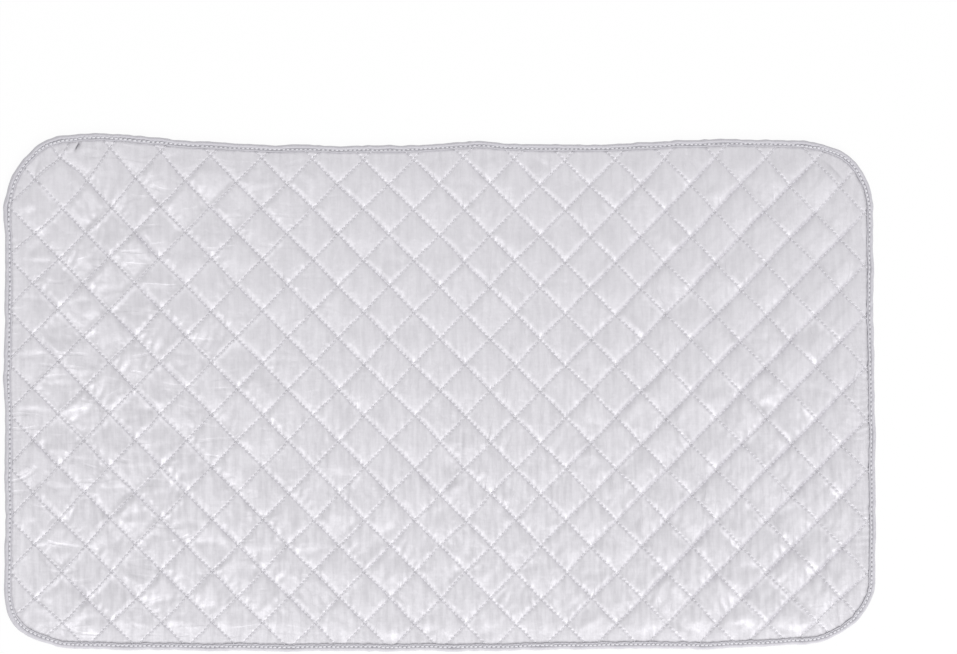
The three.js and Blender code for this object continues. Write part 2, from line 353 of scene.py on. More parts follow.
@dataclass(frozen=True)
class CoatedCloth:
    """Cloth with a silvery coating that takes the iron."""

    quilt: "Quilt"
    name: str = "silver_coated_cloth"
    dull: Colour = paint(211, 209, 214)
    bright: Colour = paint(228, 226, 231)
    # The next two colours are painted shade: the first in the rows and beside the tape, the second at the
    # needle holes and in the pleats.
    row_and_tape_shaded: Colour = paint(150, 148, 156)
    hole_and_pleat_shade: Colour = paint(96, 94, 102)
    row_core: float = 0.2
    row_reach: float = 1.7
    row_shade_amount: Ramp = Ramp(0.05, 0.09)
    hole_reach: float = 1.25
    hole_shade_amount: Ramp = Ramp(0.05, 0.20)
    dimple_wider: float = 1.8
    dimple: float = 0.6
    # The next two numbers fade from the left side, full at the first to none at the second: the painted row
    # shade grows there and the creases change depth.
    leftness_from: float = -320.0
    leftness_to: float = 0.0
    lively_from: float = -120.0
    calm_from: float = 150.0
    contrast: Ramp = Ramp(0.5, 0.5)
    tape_edge: float = 6.4
    tape_shade_to: float = 9.0
    tape_shade: float = 0.3
    slub_grain: Grain = (1.3, 0.035, 0.0)
    slub_share: float = 0.12
    slub_height: float = 0.25
    pick_grain: Grain = (0.04, 1.1, 0.0)
    pick_share: float = 0.13
    # Painted sheen: the next noise makes lighter and darker upright streaks in the colour, standing in for
    # the sheen on small creases.
    sheen_streak_grain: Grain = (0.19, 0.03, 0.0)
    sheen_streak_share: float = 0.75
    slub_and_sheen_fade: tuple[float, float] = (0.68, 0.32)
    patch_scale: float = 0.09
    patch_fade: tuple[float, float] = (0.65, 0.35)
    crinkle_scale: float = 0.22
    across_grain: Grain = (0.014, 0.050, 0.0)
    across_depth: Ramp = Ramp(0.1, 0.5)
    upright_grain: Grain = (0.055, 0.014, 0.0)
    upright_depth: Ramp = Ramp(0.6, -0.4)
    crease_half: float = 0.06
    creased_scale: float = 0.029
    creased_fade: tuple[float, float] = (0.56, 0.46)
    weave: float = 0.62
    weave_height: float = 0.06
    metallic: float = 0.37
    roughness: Ramp = Ramp(0.42, 0.14)
    relief_height: float = 0.35

    def material(self) -> bpy.types.Material:
        """Makes the material.

        Returns:
            Slub streaks with painted sheen streaks, a fine weave, and painted shade
            in the rows, at the needle holes, in the pleats and beside the tape.
        """
        book = NodeBook(self.name)
        rows = book.plan()[:2]
        x, y, place = book.place()
        off_rows = [way.bounce(self.quilt.spacing / 2) for way in rows]
        off_holes = [way.bounce(self.quilt.pitch / 2) for way in rows]
        # Painted shade: the colour darkens along the rows, as the shade in their grooves.
        row = off_rows[0].least(off_rows[1]).fade(self.row_core, self.row_reach)
        # Painted shade: the first spot darkens the colour at each needle hole, as the shade in it; the wider
        # second spot only dents the bump.
        hole, dimple = (
            self._spot(off_rows[0], off_holes[1], wider) + self._spot(off_rows[1], off_holes[0], wider)
            for wider in (1.0, self.dimple_wider)
        )
        slub = book.noise(book.stretch(place, self.slub_grain), 1.0, 3.0)
        pick = book.noise(book.stretch(place, self.pick_grain), 1.0, 2.0)
        # Painted sheen: this long upright noise streaks the colour lighter and darker as sheen on small
        # creases would; slub and pick are the yarn's own tone, and the streaks are stronger towards the
        # front.
        fold = book.noise(book.stretch(place, self.sheen_streak_grain), 1.0, 3.0)
        lively = y.fade(self.lively_from, self.calm_from)
        uneven = slub * self.slub_share + pick * self.pick_share + fold * self.sheen_streak_share - 0.5
        slub_and_sheen = 0.5 + uneven * self.contrast.at(lively)
        cloth = book.blend(slub_and_sheen.fade(*self.slub_and_sheen_fade), self.bright, self.dull)
        threads = (x * (TURN / self.weave)).sine() * (y * (TURN / self.weave)).sine()
        crinkle = book.noise(place, self.crinkle_scale, 3.0)
        leftness = x.fade(self.leftness_from, self.leftness_to)
        patch = book.noise(place, self.patch_scale, 2.0).fade(*self.patch_fade)
        across = self._creases(book, place, self.across_grain) * self.across_depth.at(leftness)
        upright = self._creases(book, place, self.upright_grain) * self.upright_depth.at(leftness)
        relief = threads * self.weave_height + slub * self.slub_height + crinkle
        relief = relief - across - upright - dimple * self.dimple
        # Painted shadow: the colour darkens on the cloth beside the tape's inner edge, together with the
        # painted row shade.
        tape_shadow_mask = book.attribute(INSET).fade(self.tape_edge, self.tape_shade_to) * self.tape_shade
        row_and_tape_shaded = book.blend((row * self.row_shade_amount.at(leftness) + tape_shadow_mask).least(1.0), cloth, self.row_and_tape_shaded)
        # Painted shade: the needle holes and the pleats, read from the shade attribute, darken the colour
        # towards the hole and pleat shade.
        pleat_shade = book.attribute(SHADE)
        painted_shade = hole.least(1.0) * self.hole_shade_amount.at(patch)
        surface = book.shell(
            Base_Color=book.blend((painted_shade + pleat_shade * pleat_shade).least(1.0), row_and_tape_shaded, self.hole_and_pleat_shade),
            Metallic=self.metallic,
            Roughness=self.roughness.at(slub),
            Normal=book.bump(relief, self.relief_height),
        )
        return book.finish(surface)

    def _creases(self, book: NodeBook, place: Signal, grain: Grain) -> Signal:
        """Gives fine long creases that come and go.

        Args:
            book: The material's nodes.
            place: The place on the pad in millimetres.
            grain: Creases per millimetre along each axis, about.

        Returns:
            1 in the creases and 0 between them.
        """
        off = book.noise(book.stretch(place, grain), 1.0, 1.0) - 0.5
        patch = book.noise(place, self.creased_scale, 1.0).fade(*self.creased_fade)
        return (off * off).fade(0.0, self.crease_half**2) * patch

    def _spot(self, off_row: Signal, off_hole: Signal, wider: float) -> Signal:
        """Gives a spot at a needle hole from the distances across and along its row."""
        return (off_row * off_row + off_hole * off_hole).fade(0.0, (self.hole_reach * wider) ** 2)


@dataclass(frozen=True)
class BindingTape:
    """Grey woven tape with fine ribs across it."""

    name: str = "grey_binding_tape"
    dull: Colour = paint(190, 188, 195)
    bright: Colour = paint(214, 212, 218)
    # The seam colour is painted shade, for the stitch groove and under the inner lip.
    seam_and_lip_shade: Colour = paint(126, 125, 132)
    patch_scale: float = 0.12
    patch_share: float = 0.6
    fleck_grain: Grain = (0.3, 2.2, 1.0)
    fleck_share: float = 0.4
    rib: float = 0.9
    rib_slant: float = 0.4
    rib_height: float = 0.3
    seam_at: float = 3.55
    seam_core: float = 0.5
    seam_half: float = 1.25
    seam_shade_amount: float = 0.5
    lip_fade: tuple[float, float] = (0.7, 1.7)
    lip_shade_amount: float = 0.6
    roughness: Ramp = Ramp(0.62, 0.2)
    sheen: float = 0.15
    relief_height: float = 0.12

    def material(self) -> bpy.types.Material:
        """Makes the material.

        Returns:
            Ribs across the tape, with painted shade along its seam and under its inner lip.
        """
        book = NodeBook(self.name)
        along, across, plan = book.plan()
        patch = book.noise(plan, self.patch_scale, 3.0)
        fleck = book.noise(book.stretch(plan, self.fleck_grain), 1.0, 2.0)
        ribs = ((along + across * self.rib_slant) * (TURN / self.rib)).sine()
        # Painted shade: the groove along the seam and the cloth under the inner lip darken the colour, as
        # the shade there.
        off_seam = across - self.seam_at
        seam = (off_seam * off_seam).fade(self.seam_core, self.seam_half**2)
        lip = across.fade(*self.lip_fade)
        painted_shade = (seam * self.seam_shade_amount + lip * self.lip_shade_amount).least(1.0)
        cloth = book.blend(patch * self.patch_share + fleck * self.fleck_share, self.dull, self.bright)
        surface = book.shell(
            Base_Color=book.blend(painted_shade, cloth, self.seam_and_lip_shade),
            Roughness=self.roughness.at(fleck),
            Sheen_Weight=self.sheen,
            Normal=book.bump(ribs * self.rib_height + fleck, self.relief_height),
        )
        return book.finish(surface)


@dataclass(frozen=True)
class SpunThread:
    """Twisted sewing thread."""

    name: str
    dull: Colour
    bright: Colour
    twist: float = 0.9
    ply_share: float = 0.6
    fuzz_scale: float = 3.0
    fuzz_share: float = 0.4
    roughness: Ramp = Ramp(0.5, 0.2)
    sheen: float = 0.2
    relief_height: float = 0.08

    def material(self) -> bpy.types.Material:
        """Makes the material.

        Returns:
            Plies that wind round the thread, and a little fuzz.
        """
        book = NodeBook(self.name)
        along, around, plan = book.plan()
        ply = ((along * (1.0 / self.twist) + around) * TURN).sine() * 0.5 + 0.5
        fuzz = book.noise(plan, self.fuzz_scale, 2.0)
        mixed = ply * self.ply_share + fuzz * self.fuzz_share
        surface = book.shell(
            Base_Color=book.blend(mixed, self.dull, self.bright),
            Roughness=self.roughness.at(fuzz),
            Sheen_Weight=self.sheen,
            Normal=book.bump(ply, self.relief_height),
        )
        return book.finish(surface)


@dataclass(frozen=True)
class PlainWeave:
    """Uncoated plain-woven cloth, for the backing and the magnet pockets."""

    name: str
    dull: Colour
    bright: Colour
    weave: float = 0.8
    yarn_grain: Grain = (1.1, 0.05, 1.0)
    yarn_share: float = 0.5
    cloud_scale: float = 0.04
    cloud_share: float = 0.3
    over_share: float = 0.2
    over_height: float = 0.4
    roughness: Ramp = Ramp(0.78, 0.15)
    sheen: float = 0.1
    relief_height: float = 0.12

    def material(self) -> bpy.types.Material:
        """Makes the material.

        Returns:
            Warp over weft, with uneven yarns.
        """
        book = NodeBook(self.name)
        x, y, place = book.place()
        warp = (x * (TURN / self.weave)).sine()
        weft = (y * (TURN / self.weave)).sine()
        yarn = book.noise(book.stretch(place, self.yarn_grain), 1.0, 2.0)
        cloud = book.noise(place, self.cloud_scale, 3.0)
        over = warp * weft * 0.5 + 0.5
        mixed = yarn * self.yarn_share + cloud * self.cloud_share + over * self.over_share
        surface = book.shell(
            Base_Color=book.blend(mixed, self.dull, self.bright),
            Roughness=self.roughness.at(yarn),
            Sheen_Weight=self.sheen,
            Normal=book.bump(over * self.over_height + yarn, self.relief_height),
        )
        return book.finish(surface)


@dataclass(frozen=True)
class FeltedFibre:
    """Loose, needled fibre of the wadding."""

    name: str = "needled_fibre"
    dull: Colour = paint(214, 213, 214)
    bright: Colour = paint(238, 237, 238)
    fibre_grain: Grain = (0.25, 2.5, 1.0)
    cross_grain: Grain = (2.5, 0.25, 1.0)
    fibre_share: float = 0.35
    clump_scale: float = 0.12
    clump_share: float = 0.3
    roughness: float = 0.95
    sheen: float = 0.3
    relief_height: float = 0.4

    def material(self) -> bpy.types.Material:
        """Makes the material.

        Returns:
            Crossed fibres and soft clumps.
        """
        book = NodeBook(self.name)
        place = book.place()[2]
        fibre = book.noise(book.stretch(place, self.fibre_grain), 1.0, 4.0)
        cross = book.noise(book.stretch(place, self.cross_grain), 1.0, 4.0)
        clump = book.noise(place, self.clump_scale, 3.0)
        mixed = fibre * self.fibre_share + cross * self.fibre_share + clump * self.clump_share
        surface = book.shell(
            Base_Color=book.blend(mixed, self.dull, self.bright),
            Roughness=self.roughness,
            Sheen_Weight=self.sheen,
            Normal=book.bump(fibre + cross + clump, self.relief_height),
        )
        return book.finish(surface)


@dataclass(frozen=True)
class FerriteMagnet:
    """Dark sintered ferrite with grinding marks and handling wear."""

    name: str = "dark_ferrite_magnet"
    dull: Colour = paint(50, 50, 53)
    bright: Colour = paint(78, 77, 80)
    brush_grain: Grain = (0.2, 6.0, 1.0)
    brush_share: float = 0.4
    wear_scale: float = 0.25
    wear_share: float = 0.6
    metallic: float = 0.3
    roughness: Ramp = Ramp(0.4, 0.25)
    relief_height: float = 0.02

    def material(self) -> bpy.types.Material:
        """Makes the material.

        Returns:
            Dark ground ferrite with duller patches.
        """
        book = NodeBook(self.name)
        place = book.place()[2]
        brush = book.noise(book.stretch(place, self.brush_grain), 1.0, 3.0)
        wear = book.noise(place, self.wear_scale, 4.0)
        mixed = brush * self.brush_share + wear * self.wear_share
        surface = book.shell(
            Base_Color=book.blend(mixed, self.dull, self.bright),
            Metallic=self.metallic,
            Roughness=self.roughness.at(wear),
            Normal=book.bump(brush, self.relief_height),
        )
        return book.finish(surface)


# The plan of the pad


@dataclass(frozen=True)
class Outline:
    """The pad's edge: a rectangle with round corners, in millimetres."""

    length: float = 850.0
    width: float = 480.0
    corner: float = 68.0

    @property
    def core(self) -> Array:
        """Gives the corner arcs' centre in the first quarter."""
        return np.array([self.length / 2 - self.corner, self.width / 2 - self.corner])

    @property
    def runs(self) -> Array:
        """Measures the eight runs of the edge.

        Returns:
            Their lengths, from the front edge round by way of the right side.
        """
        sides = 2.0 * self.core
        arc = self.corner * TURN / 4
        return np.array([sides[0], arc, sides[1], arc] * 2)

    @property
    def girth(self) -> float:
        """Gives the length of the whole edge."""
        return float(self.runs.sum())

    def inset(self, xy: Array) -> Array:
        """Tells how far inside the edge each point is.

        Args:
            xy: Points, one per row.

        Returns:
            The distances, negative outside.
        """
        over = np.abs(xy) - self.core
        beyond = np.hypot(np.maximum(over[:, 0], 0.0), np.maximum(over[:, 1], 0.0))
        return self.corner - beyond - np.minimum(over.max(axis=1), 0.0)

    def outward(self, xy: Array) -> Array:
        """Gives the direction of the nearest edge from each point.

        Args:
            xy: Points, one per row.

        Returns:
            Unit directions, one per row.
        """
        over = np.abs(xy) - self.core
        inner = np.where(over[:, [0]] > over[:, [1]], [1.0, 0.0], [0.0, 1.0])
        lean = np.where((over > 0.0).all(axis=1)[:, None], over, inner)
        lean /= np.linalg.norm(lean, axis=1, keepdims=True)
        return lean * np.where(xy < 0.0, -1.0, 1.0)

    def rim(self, along: Array) -> tuple[Array, Array]:
        """Walks round the edge, from the left end of the front run.

        Args:
            along: Distances along the edge.

        Returns:
            The points on the edge and their outward directions.
        """
        along = np.mod(along, self.girth)
        ends = np.cumsum(self.runs)
        run = np.minimum(np.searchsorted(ends, along, side="right"), len(ends) - 1)
        past = along - (ends - self.runs)[run]
        quarter = run // 2
        on_arc = run % 2 == 1
        facing = (quarter - 1) * TURN / 4 + np.where(on_arc, past / self.corner, 0.0)
        way_out = np.stack([np.cos(facing), np.sin(facing)], axis=1)
        heading = np.stack([-way_out[:, 1], way_out[:, 0]], axis=1)
        signs = np.array([[-1, -1], [1, -1], [1, 1], [-1, 1]])
        centre = signs[(quarter + on_arc) % 4] * self.core
        return centre + way_out * self.corner + heading * np.where(on_arc, 0.0, past)[:, None], way_out

    def around(self, xy: Array) -> Array:
        """Gives the distance along the edge of the rim point nearest to each point.

        Args:
            xy: Points, one per row.

        Returns:
            The distances along the edge.
        """
        way_out = self.outward(xy)
        facing = np.mod(np.arctan2(way_out[:, 1], way_out[:, 0]) + TURN / 4, TURN)
        quarter = np.floor(facing / (TURN / 4) + SLIVER).astype(int) % 4
        turned = np.maximum(facing - quarter * TURN / 4, 0.0)
        starts = (np.cumsum(self.runs) - self.runs)[2 * quarter]
        straight = self.runs[2 * quarter]
        bearing = quarter * TURN / 4
        travelled = xy[:, 0] * np.cos(bearing) + xy[:, 1] * np.sin(bearing) + straight / 2
        on_arc = turned > SLIVER
        return starts + np.where(on_arc, straight + turned * self.corner, travelled)


@dataclass(frozen=True)
class Pull:
    """A place where the pad lies a little off its drawn shape."""

    at: tuple[float, float]
    reach: tuple[float, float]
    shift: tuple[float, float]

    def push(self, xy: Array) -> Array:
        """Gives the move of each point, which fades off round the place."""
        off = (((xy - np.array(self.at)) / np.array(self.reach)) ** 2).sum(axis=1)
        return np.exp(-off)[:, None] * np.array(self.shift)


@dataclass(frozen=True)
class Lie:
    """How the soft pad happens to lie, in plan."""

    pulls: tuple[Pull, ...] = (
        Pull(at=(-345.0, 240.0), reach=(75.0, 45.0), shift=(0.0, 8.2)),
        Pull(at=(-365.0, 240.0), reach=(22.0, 30.0), shift=(0.0, -2.8)),
        Pull(at=(-80.0, 240.0), reach=(170.0, 50.0), shift=(0.0, -4.0)),
        Pull(at=(45.0, 240.0), reach=(65.0, 45.0), shift=(0.0, 2.8)),
        Pull(at=(130.0, 240.0), reach=(60.0, 45.0), shift=(0.0, -2.0)),
        Pull(at=(265.0, 240.0), reach=(75.0, 45.0), shift=(0.0, 3.5)),
        Pull(at=(325.0, 240.0), reach=(32.0, 35.0), shift=(0.0, 1.8)),
        Pull(at=(405.0, 225.0), reach=(32.0, 32.0), shift=(1.2, 3.0)),
        Pull(at=(425.0, -90.0), reach=(60.0, 140.0), shift=(1.5, 0.0)),
        Pull(at=(425.0, 130.0), reach=(60.0, 70.0), shift=(-1.0, 0.0)),
        Pull(at=(375.0, -240.0), reach=(60.0, 40.0), shift=(-1.0, 4.5)),
        Pull(at=(-365.0, -240.0), reach=(58.0, 42.0), shift=(0.0, 4.6)),
        Pull(at=(-255.0, -240.0), reach=(50.0, 40.0), shift=(0.0, 2.0)),
        Pull(at=(-120.0, -240.0), reach=(90.0, 40.0), shift=(0.0, 0.9)),
        Pull(at=(20.0, -240.0), reach=(70.0, 40.0), shift=(0.0, -0.8)),
        Pull(at=(-417.0, -218.0), reach=(28.0, 30.0), shift=(-5.6, -1.4)),
        Pull(at=(-415.0, 205.0), reach=(28.0, 30.0), shift=(-0.6, 0.4)),
        Pull(at=(-425.0, 130.0), reach=(40.0, 60.0), shift=(1.2, 0.0)),
        Pull(at=(-425.0, -120.0), reach=(40.0, 80.0), shift=(1.2, 0.0)),
    )
    sway: float = 0.55
    sway_band: WaveBand = WaveBand(14, 45.0, 160.0)
    wobble: float = 0.16
    wobble_band: WaveBand = WaveBand(24, 9.0, 24.0)
    seed: int = 11

    def place(self, xy: Array) -> Array:
        """Moves points of the plan to where they lie.

        Args:
            xy: Points of the plan, one per row, in millimetres.

        Returns:
            The points as they lie.
        """
        rng = np.random.default_rng(self.seed)
        moved = xy.copy()
        for pull in self.pulls:
            moved += pull.push(xy)
        for axis in range(2):
            moved[:, axis] += self.sway * self.sway_band.over(rng, xy)
            moved[:, axis] += self.wobble * self.wobble_band.over(rng, xy)
        return moved


@dataclass(frozen=True)
class Quilt:
    """The two crossing sets of quilted rows, a little off the middle and led round the magnets."""

    spacing: float = 34.7
    stitches_per_cell: int = 8
    middle: tuple[float, float] = (-3.0, 5.5)
    across: tuple[float, float] = (1.0049, -0.0040)
    back: tuple[float, float] = (-0.0084, 0.9971)
    tries: int = 6
    sidesteps: tuple[Pull, ...] = (
        Pull(at=(-368.0, 196.0), reach=(55.0, 55.0), shift=(4.7, -4.7)),
        Pull(at=(-368.0, -196.0), reach=(55.0, 55.0), shift=(3.2, -3.2)),
        Pull(at=(-375.5, 230.0), reach=(16.0, 16.0), shift=(0.0, -5.5)),
    )

    @property
    def pitch(self) -> float:
        """Gives the length of one stitch with its gap."""
        return self.spacing / self.stitches_per_cell

    def to_rows(self, xy: Array) -> Array:
        """Turns plan points into row coordinates.

        Args:
            xy: Plan points in millimetres.

        Returns:
            Their distances along the two sets of rows.
        """
        straight = xy
        for _ in range(self.tries):
            straight = xy - sum(step.push(straight) for step in self.sidesteps)
        square = (straight - np.array(self.middle)) @ np.linalg.inv([self.across, self.back]).T
        return square @ np.array([[1.0, -1.0], [1.0, 1.0]]) / ROOT_2

    def from_rows(self, uv: Array) -> Array:
        """Turns row coordinates back into plan points.

        Args:
            uv: Distances along the two sets of rows.

        Returns:
            The plan points in millimetres.
        """
        square = uv @ np.array([[1.0, 1.0], [-1.0, 1.0]]) / ROOT_2
        straight = square @ np.array([self.across, self.back]).T + np.array(self.middle)
        return straight + sum(step.push(straight) for step in self.sidesteps)

    def past_rows(self, uv: Array) -> Array:
        """Gives how far each point is past the nearest falling and rising row, negative before it."""
        return uv - self.spacing * np.round(uv / self.spacing)

    def off_rows(self, uv: Array) -> Array:
        """Gives each point's distances from the nearest falling and the nearest rising row."""
        return np.abs(self.past_rows(uv))

    def off_row(self, uv: Array) -> Array:
        """Gives each point's distance from the nearest row."""
        return self.off_rows(uv).min(axis=1)


@dataclass(frozen=True)
class Plan:
    """What all pieces share: the outline, the rows and the lie."""

    outline: Outline = Outline()
    quilt: Quilt = Quilt()
    lie: Lie = Lie()

    @property
    def rows_each_way(self) -> int:
        """Gives how many rows of one set cover the pad on either side of its middle."""
        return math.ceil((self.outline.length + self.outline.width) / (2 * ROOT_2 * self.quilt.spacing))


# Meshes


@dataclass
class Shape:
    """Points, faces and plan coordinates of one piece, in millimetres."""

    points: Array
    faces: Array
    plan: Array

    def piece(self, name: str, material: bpy.types.Material) -> bpy.types.Object:
        """Makes the object, with smooth faces.

        Args:
            name: The piece's name.
            material: Its finish.

        Returns:
            The new object, which rides on the pad.
        """
        mesh = bpy.data.meshes.new(name)
        corners = self.faces.shape[1]
        mesh.vertices.add(len(self.points))
        mesh.vertices.foreach_set("co", (self.points * MM).ravel())
        mesh.loops.add(self.faces.size)
        mesh.loops.foreach_set("vertex_index", self.faces.ravel().astype(np.int32))
        mesh.polygons.add(len(self.faces))
        mesh.polygons.foreach_set("loop_start", np.arange(0, self.faces.size, corners, dtype=np.int32))
        mesh.polygons.foreach_set("use_smooth", np.ones(len(self.faces), dtype=bool))
        mesh.update(calc_edges=True)
        layer = mesh.uv_layers.new(name=PLAN)
        layer.uv.foreach_set("vector", (self.plan[self.faces.ravel()] * MM).ravel())
        mesh.materials.append(material)
        obj = bpy.data.objects.new(name, mesh)
        bpy.context.scene.collection.objects.link(obj)
        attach(obj, BODY)
        LOG.info("%s: %d points, %d faces", name, len(self.points), len(self.faces))
        return obj


@dataclass(frozen=True)
class QuiltGrid:
    """A grid along the rows, closer together near them, cut to the outline."""

    plan: Plan
    offsets: tuple[float, ...]
    rim: float

    def lines(self) -> Array:
        """Spaces the grid lines over the whole pad.

        Returns:
            Their row coordinates, the same both ways.
        """
        spacing = self.plan.quilt.spacing
        near = np.array(self.offsets)
        cell = np.concatenate([near, [spacing / 2], spacing - near[:0:-1]])
        reach = self.plan.rows_each_way
        starts = np.arange(-reach, reach + 1) * spacing
        return (starts[:, None] + cell[None, :]).ravel()

    def cut(self) -> tuple[Array, Array]:
        """Lays the grid and trims it.

        Returns:
            The plan points, and the four-cornered faces between them.
        """
        lines = self.lines()
        first, second = np.meshgrid(lines, lines, indexing="ij")
        xy = self.plan.quilt.from_rows(np.stack([first.ravel(), second.ravel()], axis=1))
        inset = self.plan.outline.inset(xy)
        number = np.arange(len(xy)).reshape(first.shape)
        around = [number[:-1, :-1], number[1:, :-1], number[1:, 1:], number[:-1, 1:]]
        faces = np.stack([corner.ravel() for corner in around], axis=1)
        faces = faces[(inset[faces] > self.rim).any(axis=1)]
        used, faces = np.unique(faces, return_inverse=True)
        faces = faces.reshape(-1, 4)
        xy = xy[used]
        over = np.maximum(self.rim - inset[used], 0.0)
        return xy - self.plan.outline.outward(xy) * over[:, None], faces


# Cloth simulation


@dataclass(frozen=True)
class PuffRun:
    """Gathers a slightly larger cloth into the sewn rows and blows it up from below."""

    plan: Plan
    steps: int = 14
    spare_lines: int = 3
    gather_frames: int = 10
    settle_frames: int = 12
    spare_across: float = 0.05
    spare_along: float = 0.01
    uneven: float = 10.0
    uneven_band: WaveBand = WaveBand(16, 50.0, 130.0)
    dome: float = 0.8
    dome_reach: float = 4.0
    rough: float = 0.2
    rough_band: WaveBand = WaveBand(40, 7.0, 22.0)
    quality: int = 5
    mass: float = 0.3
    pressure: float = 1.0
    stiffness: float = 80.0
    shear: float = 10.0
    bending: float = 1.0
    on_row: float = 1e-6
    cut_edge: float = 2.0
    held_edge: float = 8.0
    quick_dome: float = 3.4
    quick_reach: float = 6.0
    seed: int = 3
    scale: float = 0.1

    def grid(self) -> Array:
        """Lays a square grid over the whole pad.

        Returns:
            The row coordinates of its points.
        """
        step = self.plan.quilt.spacing / self.steps
        diagonal = (self.plan.outline.length + self.plan.outline.width) / (2 * ROOT_2)
        half = math.ceil(diagonal / step) + self.spare_lines
        lines = np.arange(-half, half + 1) * step
        return np.stack(np.meshgrid(lines, lines, indexing="ij"), axis=-1)

    def run(self) -> "Relief":
        """Returns:
            How far each point of the cloth has moved off the flat plan.
        """
        grid = self.grid()
        size = grid.shape[0]
        uv = grid.reshape(-1, 2)
        xy = self.plan.quilt.from_rows(uv)
        inset = self.plan.outline.inset(xy)
        off_row = self.plan.quilt.off_row(uv)
        held = (off_row < self.on_row) | (inset < self.held_edge)
        inside = inset > self.cut_edge
        shift = np.zeros((len(uv), 3))
        on_grid = inside.reshape(size, size)
        shift[inside] = self._simulate(xy[inside], off_row[inside], held[inside], on_grid)
        shift[held] = 0.0
        shift[:, 2] -= self._usual(shift[:, 2], inset, size)
        step = float(grid[1, 0, 0] - grid[0, 0, 0])
        return Relief(shift.reshape(size, size, 3), step, size // 2)

    def _usual(self, lift: Array, inset: Array, size: int) -> Array:
        """Gives the mean cell's height at each point of the grid.

        Args:
            lift: The heights on the grid.
            inset: How far inside the edge the points are.
            size: The number of grid lines.

        Returns:
            The mean height, tapered off towards the edge.
        """
        phase = (np.arange(size) - size // 2) % self.steps
        key = (phase[:, None] * self.steps + phase[None, :]).ravel()
        whole = inset > self.plan.quilt.spacing
        count = np.bincount(key[whole], minlength=self.steps**2)
        mean = np.bincount(key[whole], lift[whole], self.steps**2) / count
        return mean[key] * swell(inset, self.held_edge, self.plan.quilt.spacing)

    def _simulate(self, xy: Array, off_row: Array, held: Array, inside: Array) -> Array:
        """Steps the cloth from its cut size to the sewn one.

        Args:
            xy: Plan points of the cloth.
            off_row: Their distances from the nearest row.
            held: Which of them the rows and the binding hold.
            inside: Which points of the square grid they are.

        Returns:
            Each point's move off the flat plan.
        """
        rng = np.random.default_rng(self.seed)
        lift = self.dome + self.rough * self.rough_band.over(rng, xy)
        lift *= 1.0 - np.exp(-off_row / self.dome_reach)
        lift[held] = 0.0
        spare = np.array([self.spare_across, self.spare_along])
        ease = np.stack([self.uneven_band.over(rng, xy) for _ in range(2)], axis=1)
        loose = np.column_stack([xy * (1.0 + spare) + self.uneven * spare * ease, lift])
        sewn = np.column_stack([xy, np.zeros(len(xy))])
        cloth = self._cloth(loose, sewn, held, inside)
        last = self.gather_frames + self.settle_frames
        for number in range(1, last + 1):
            bpy.context.scene.frame_set(number)
        shown = cloth.evaluated_get(bpy.context.evaluated_depsgraph_get())
        moved = np.empty(len(xy) * 3)
        shown.data.vertices.foreach_get("co", moved)
        bpy.data.objects.remove(cloth)
        bpy.context.scene.frame_set(1)
        return moved.reshape(-1, 3) / self.scale - sewn

    def _cloth(self, loose: Array, sewn: Array, held: Array, inside: Array) -> bpy.types.Object:
        """Makes the cloth that is simulated.

        Args:
            loose: Points of the cloth as cut.
            sewn: The same points gathered flat into the rows.
            held: Which points are held.
            inside: Which points of the square grid they are.

        Returns:
            The object, with its Cloth modifier set.
        """
        number = np.cumsum(inside.ravel()).reshape(inside.shape) - 1
        whole = inside[:-1, :-1] & inside[1:, :-1] & inside[1:, 1:] & inside[:-1, 1:]
        around = [number[:-1, :-1], number[1:, :-1], number[1:, 1:], number[:-1, 1:]]
        faces = np.stack([corner[whole] for corner in around], axis=1)
        mesh = bpy.data.meshes.new("cloth_run")
        mesh.from_pydata((loose * self.scale).tolist(), [], faces.tolist())
        cloth = bpy.data.objects.new("cloth_run", mesh)
        bpy.context.scene.collection.objects.link(cloth)
        cloth.shape_key_add(name="cut")
        gathered = cloth.shape_key_add(name="sewn")
        gathered.data.foreach_set("co", (sewn * self.scale).ravel())
        for value, when in ((0.0, 1), (1.0, self.gather_frames)):
            gathered.value = value
            gathered.keyframe_insert("value", frame=when)
        cloth.vertex_groups.new(name="held").add(np.flatnonzero(held).tolist(), 1.0, "REPLACE")
        modifier = cloth.modifiers.new("cloth", "CLOTH")
        modifier.point_cache.frame_start = 1
        modifier.point_cache.frame_end = self.gather_frames + self.settle_frames
        modifier.collision_settings.use_collision = False
        cut = modifier.settings
        cut.quality = self.quality
        cut.mass = self.mass
        cut.vertex_group_mass = "held"
        cut.tension_stiffness = self.stiffness
        cut.compression_stiffness = self.stiffness
        cut.shear_stiffness = self.shear
        cut.bending_stiffness = self.bending
        cut.use_pressure = True
        cut.uniform_pressure_force = self.pressure
        cut.effector_weights.gravity = 0.0
        return cloth


@dataclass(frozen=True)
class Relief:
    """How the simulated cloth moved, on a square grid along the rows."""

    shift: Array
    step: float
    middle: int

    def at(self, uv: Array) -> Array:
        """Reads the move between the grid's points, on a smooth curve through them.

        Args:
            uv: Row coordinates, one point per row.

        Returns:
            The moves in plan and height.
        """
        spot = uv / self.step + self.middle
        base = np.clip(np.floor(spot).astype(int), 1, self.shift.shape[0] - 3)
        weights = [self._weights(spot[:, axis] - base[:, axis]) for axis in range(2)]
        total = np.zeros((len(uv), 3))
        for i in range(4):
            for j in range(4):
                share = (weights[0][i] * weights[1][j])[:, None]
                total += share * self.shift[base[:, 0] + i - 1, base[:, 1] + j - 1]
        return total

    @staticmethod
    def _weights(part: Array) -> list[Array]:
        """Weighs the four points next to a place on a smooth curve through all points.

        Args:
            part: How far along its step the place is, from 0 to 1.

        Returns:
            The four weights of a Catmull-Rom curve.
        """
        return [
            0.5 * (-part + 2.0 * part**2 - part**3),
            0.5 * (2.0 - 5.0 * part**2 + 3.0 * part**3),
            0.5 * (part + 4.0 * part**2 - 3.0 * part**3),
            0.5 * (part**3 - part**2),
        ]


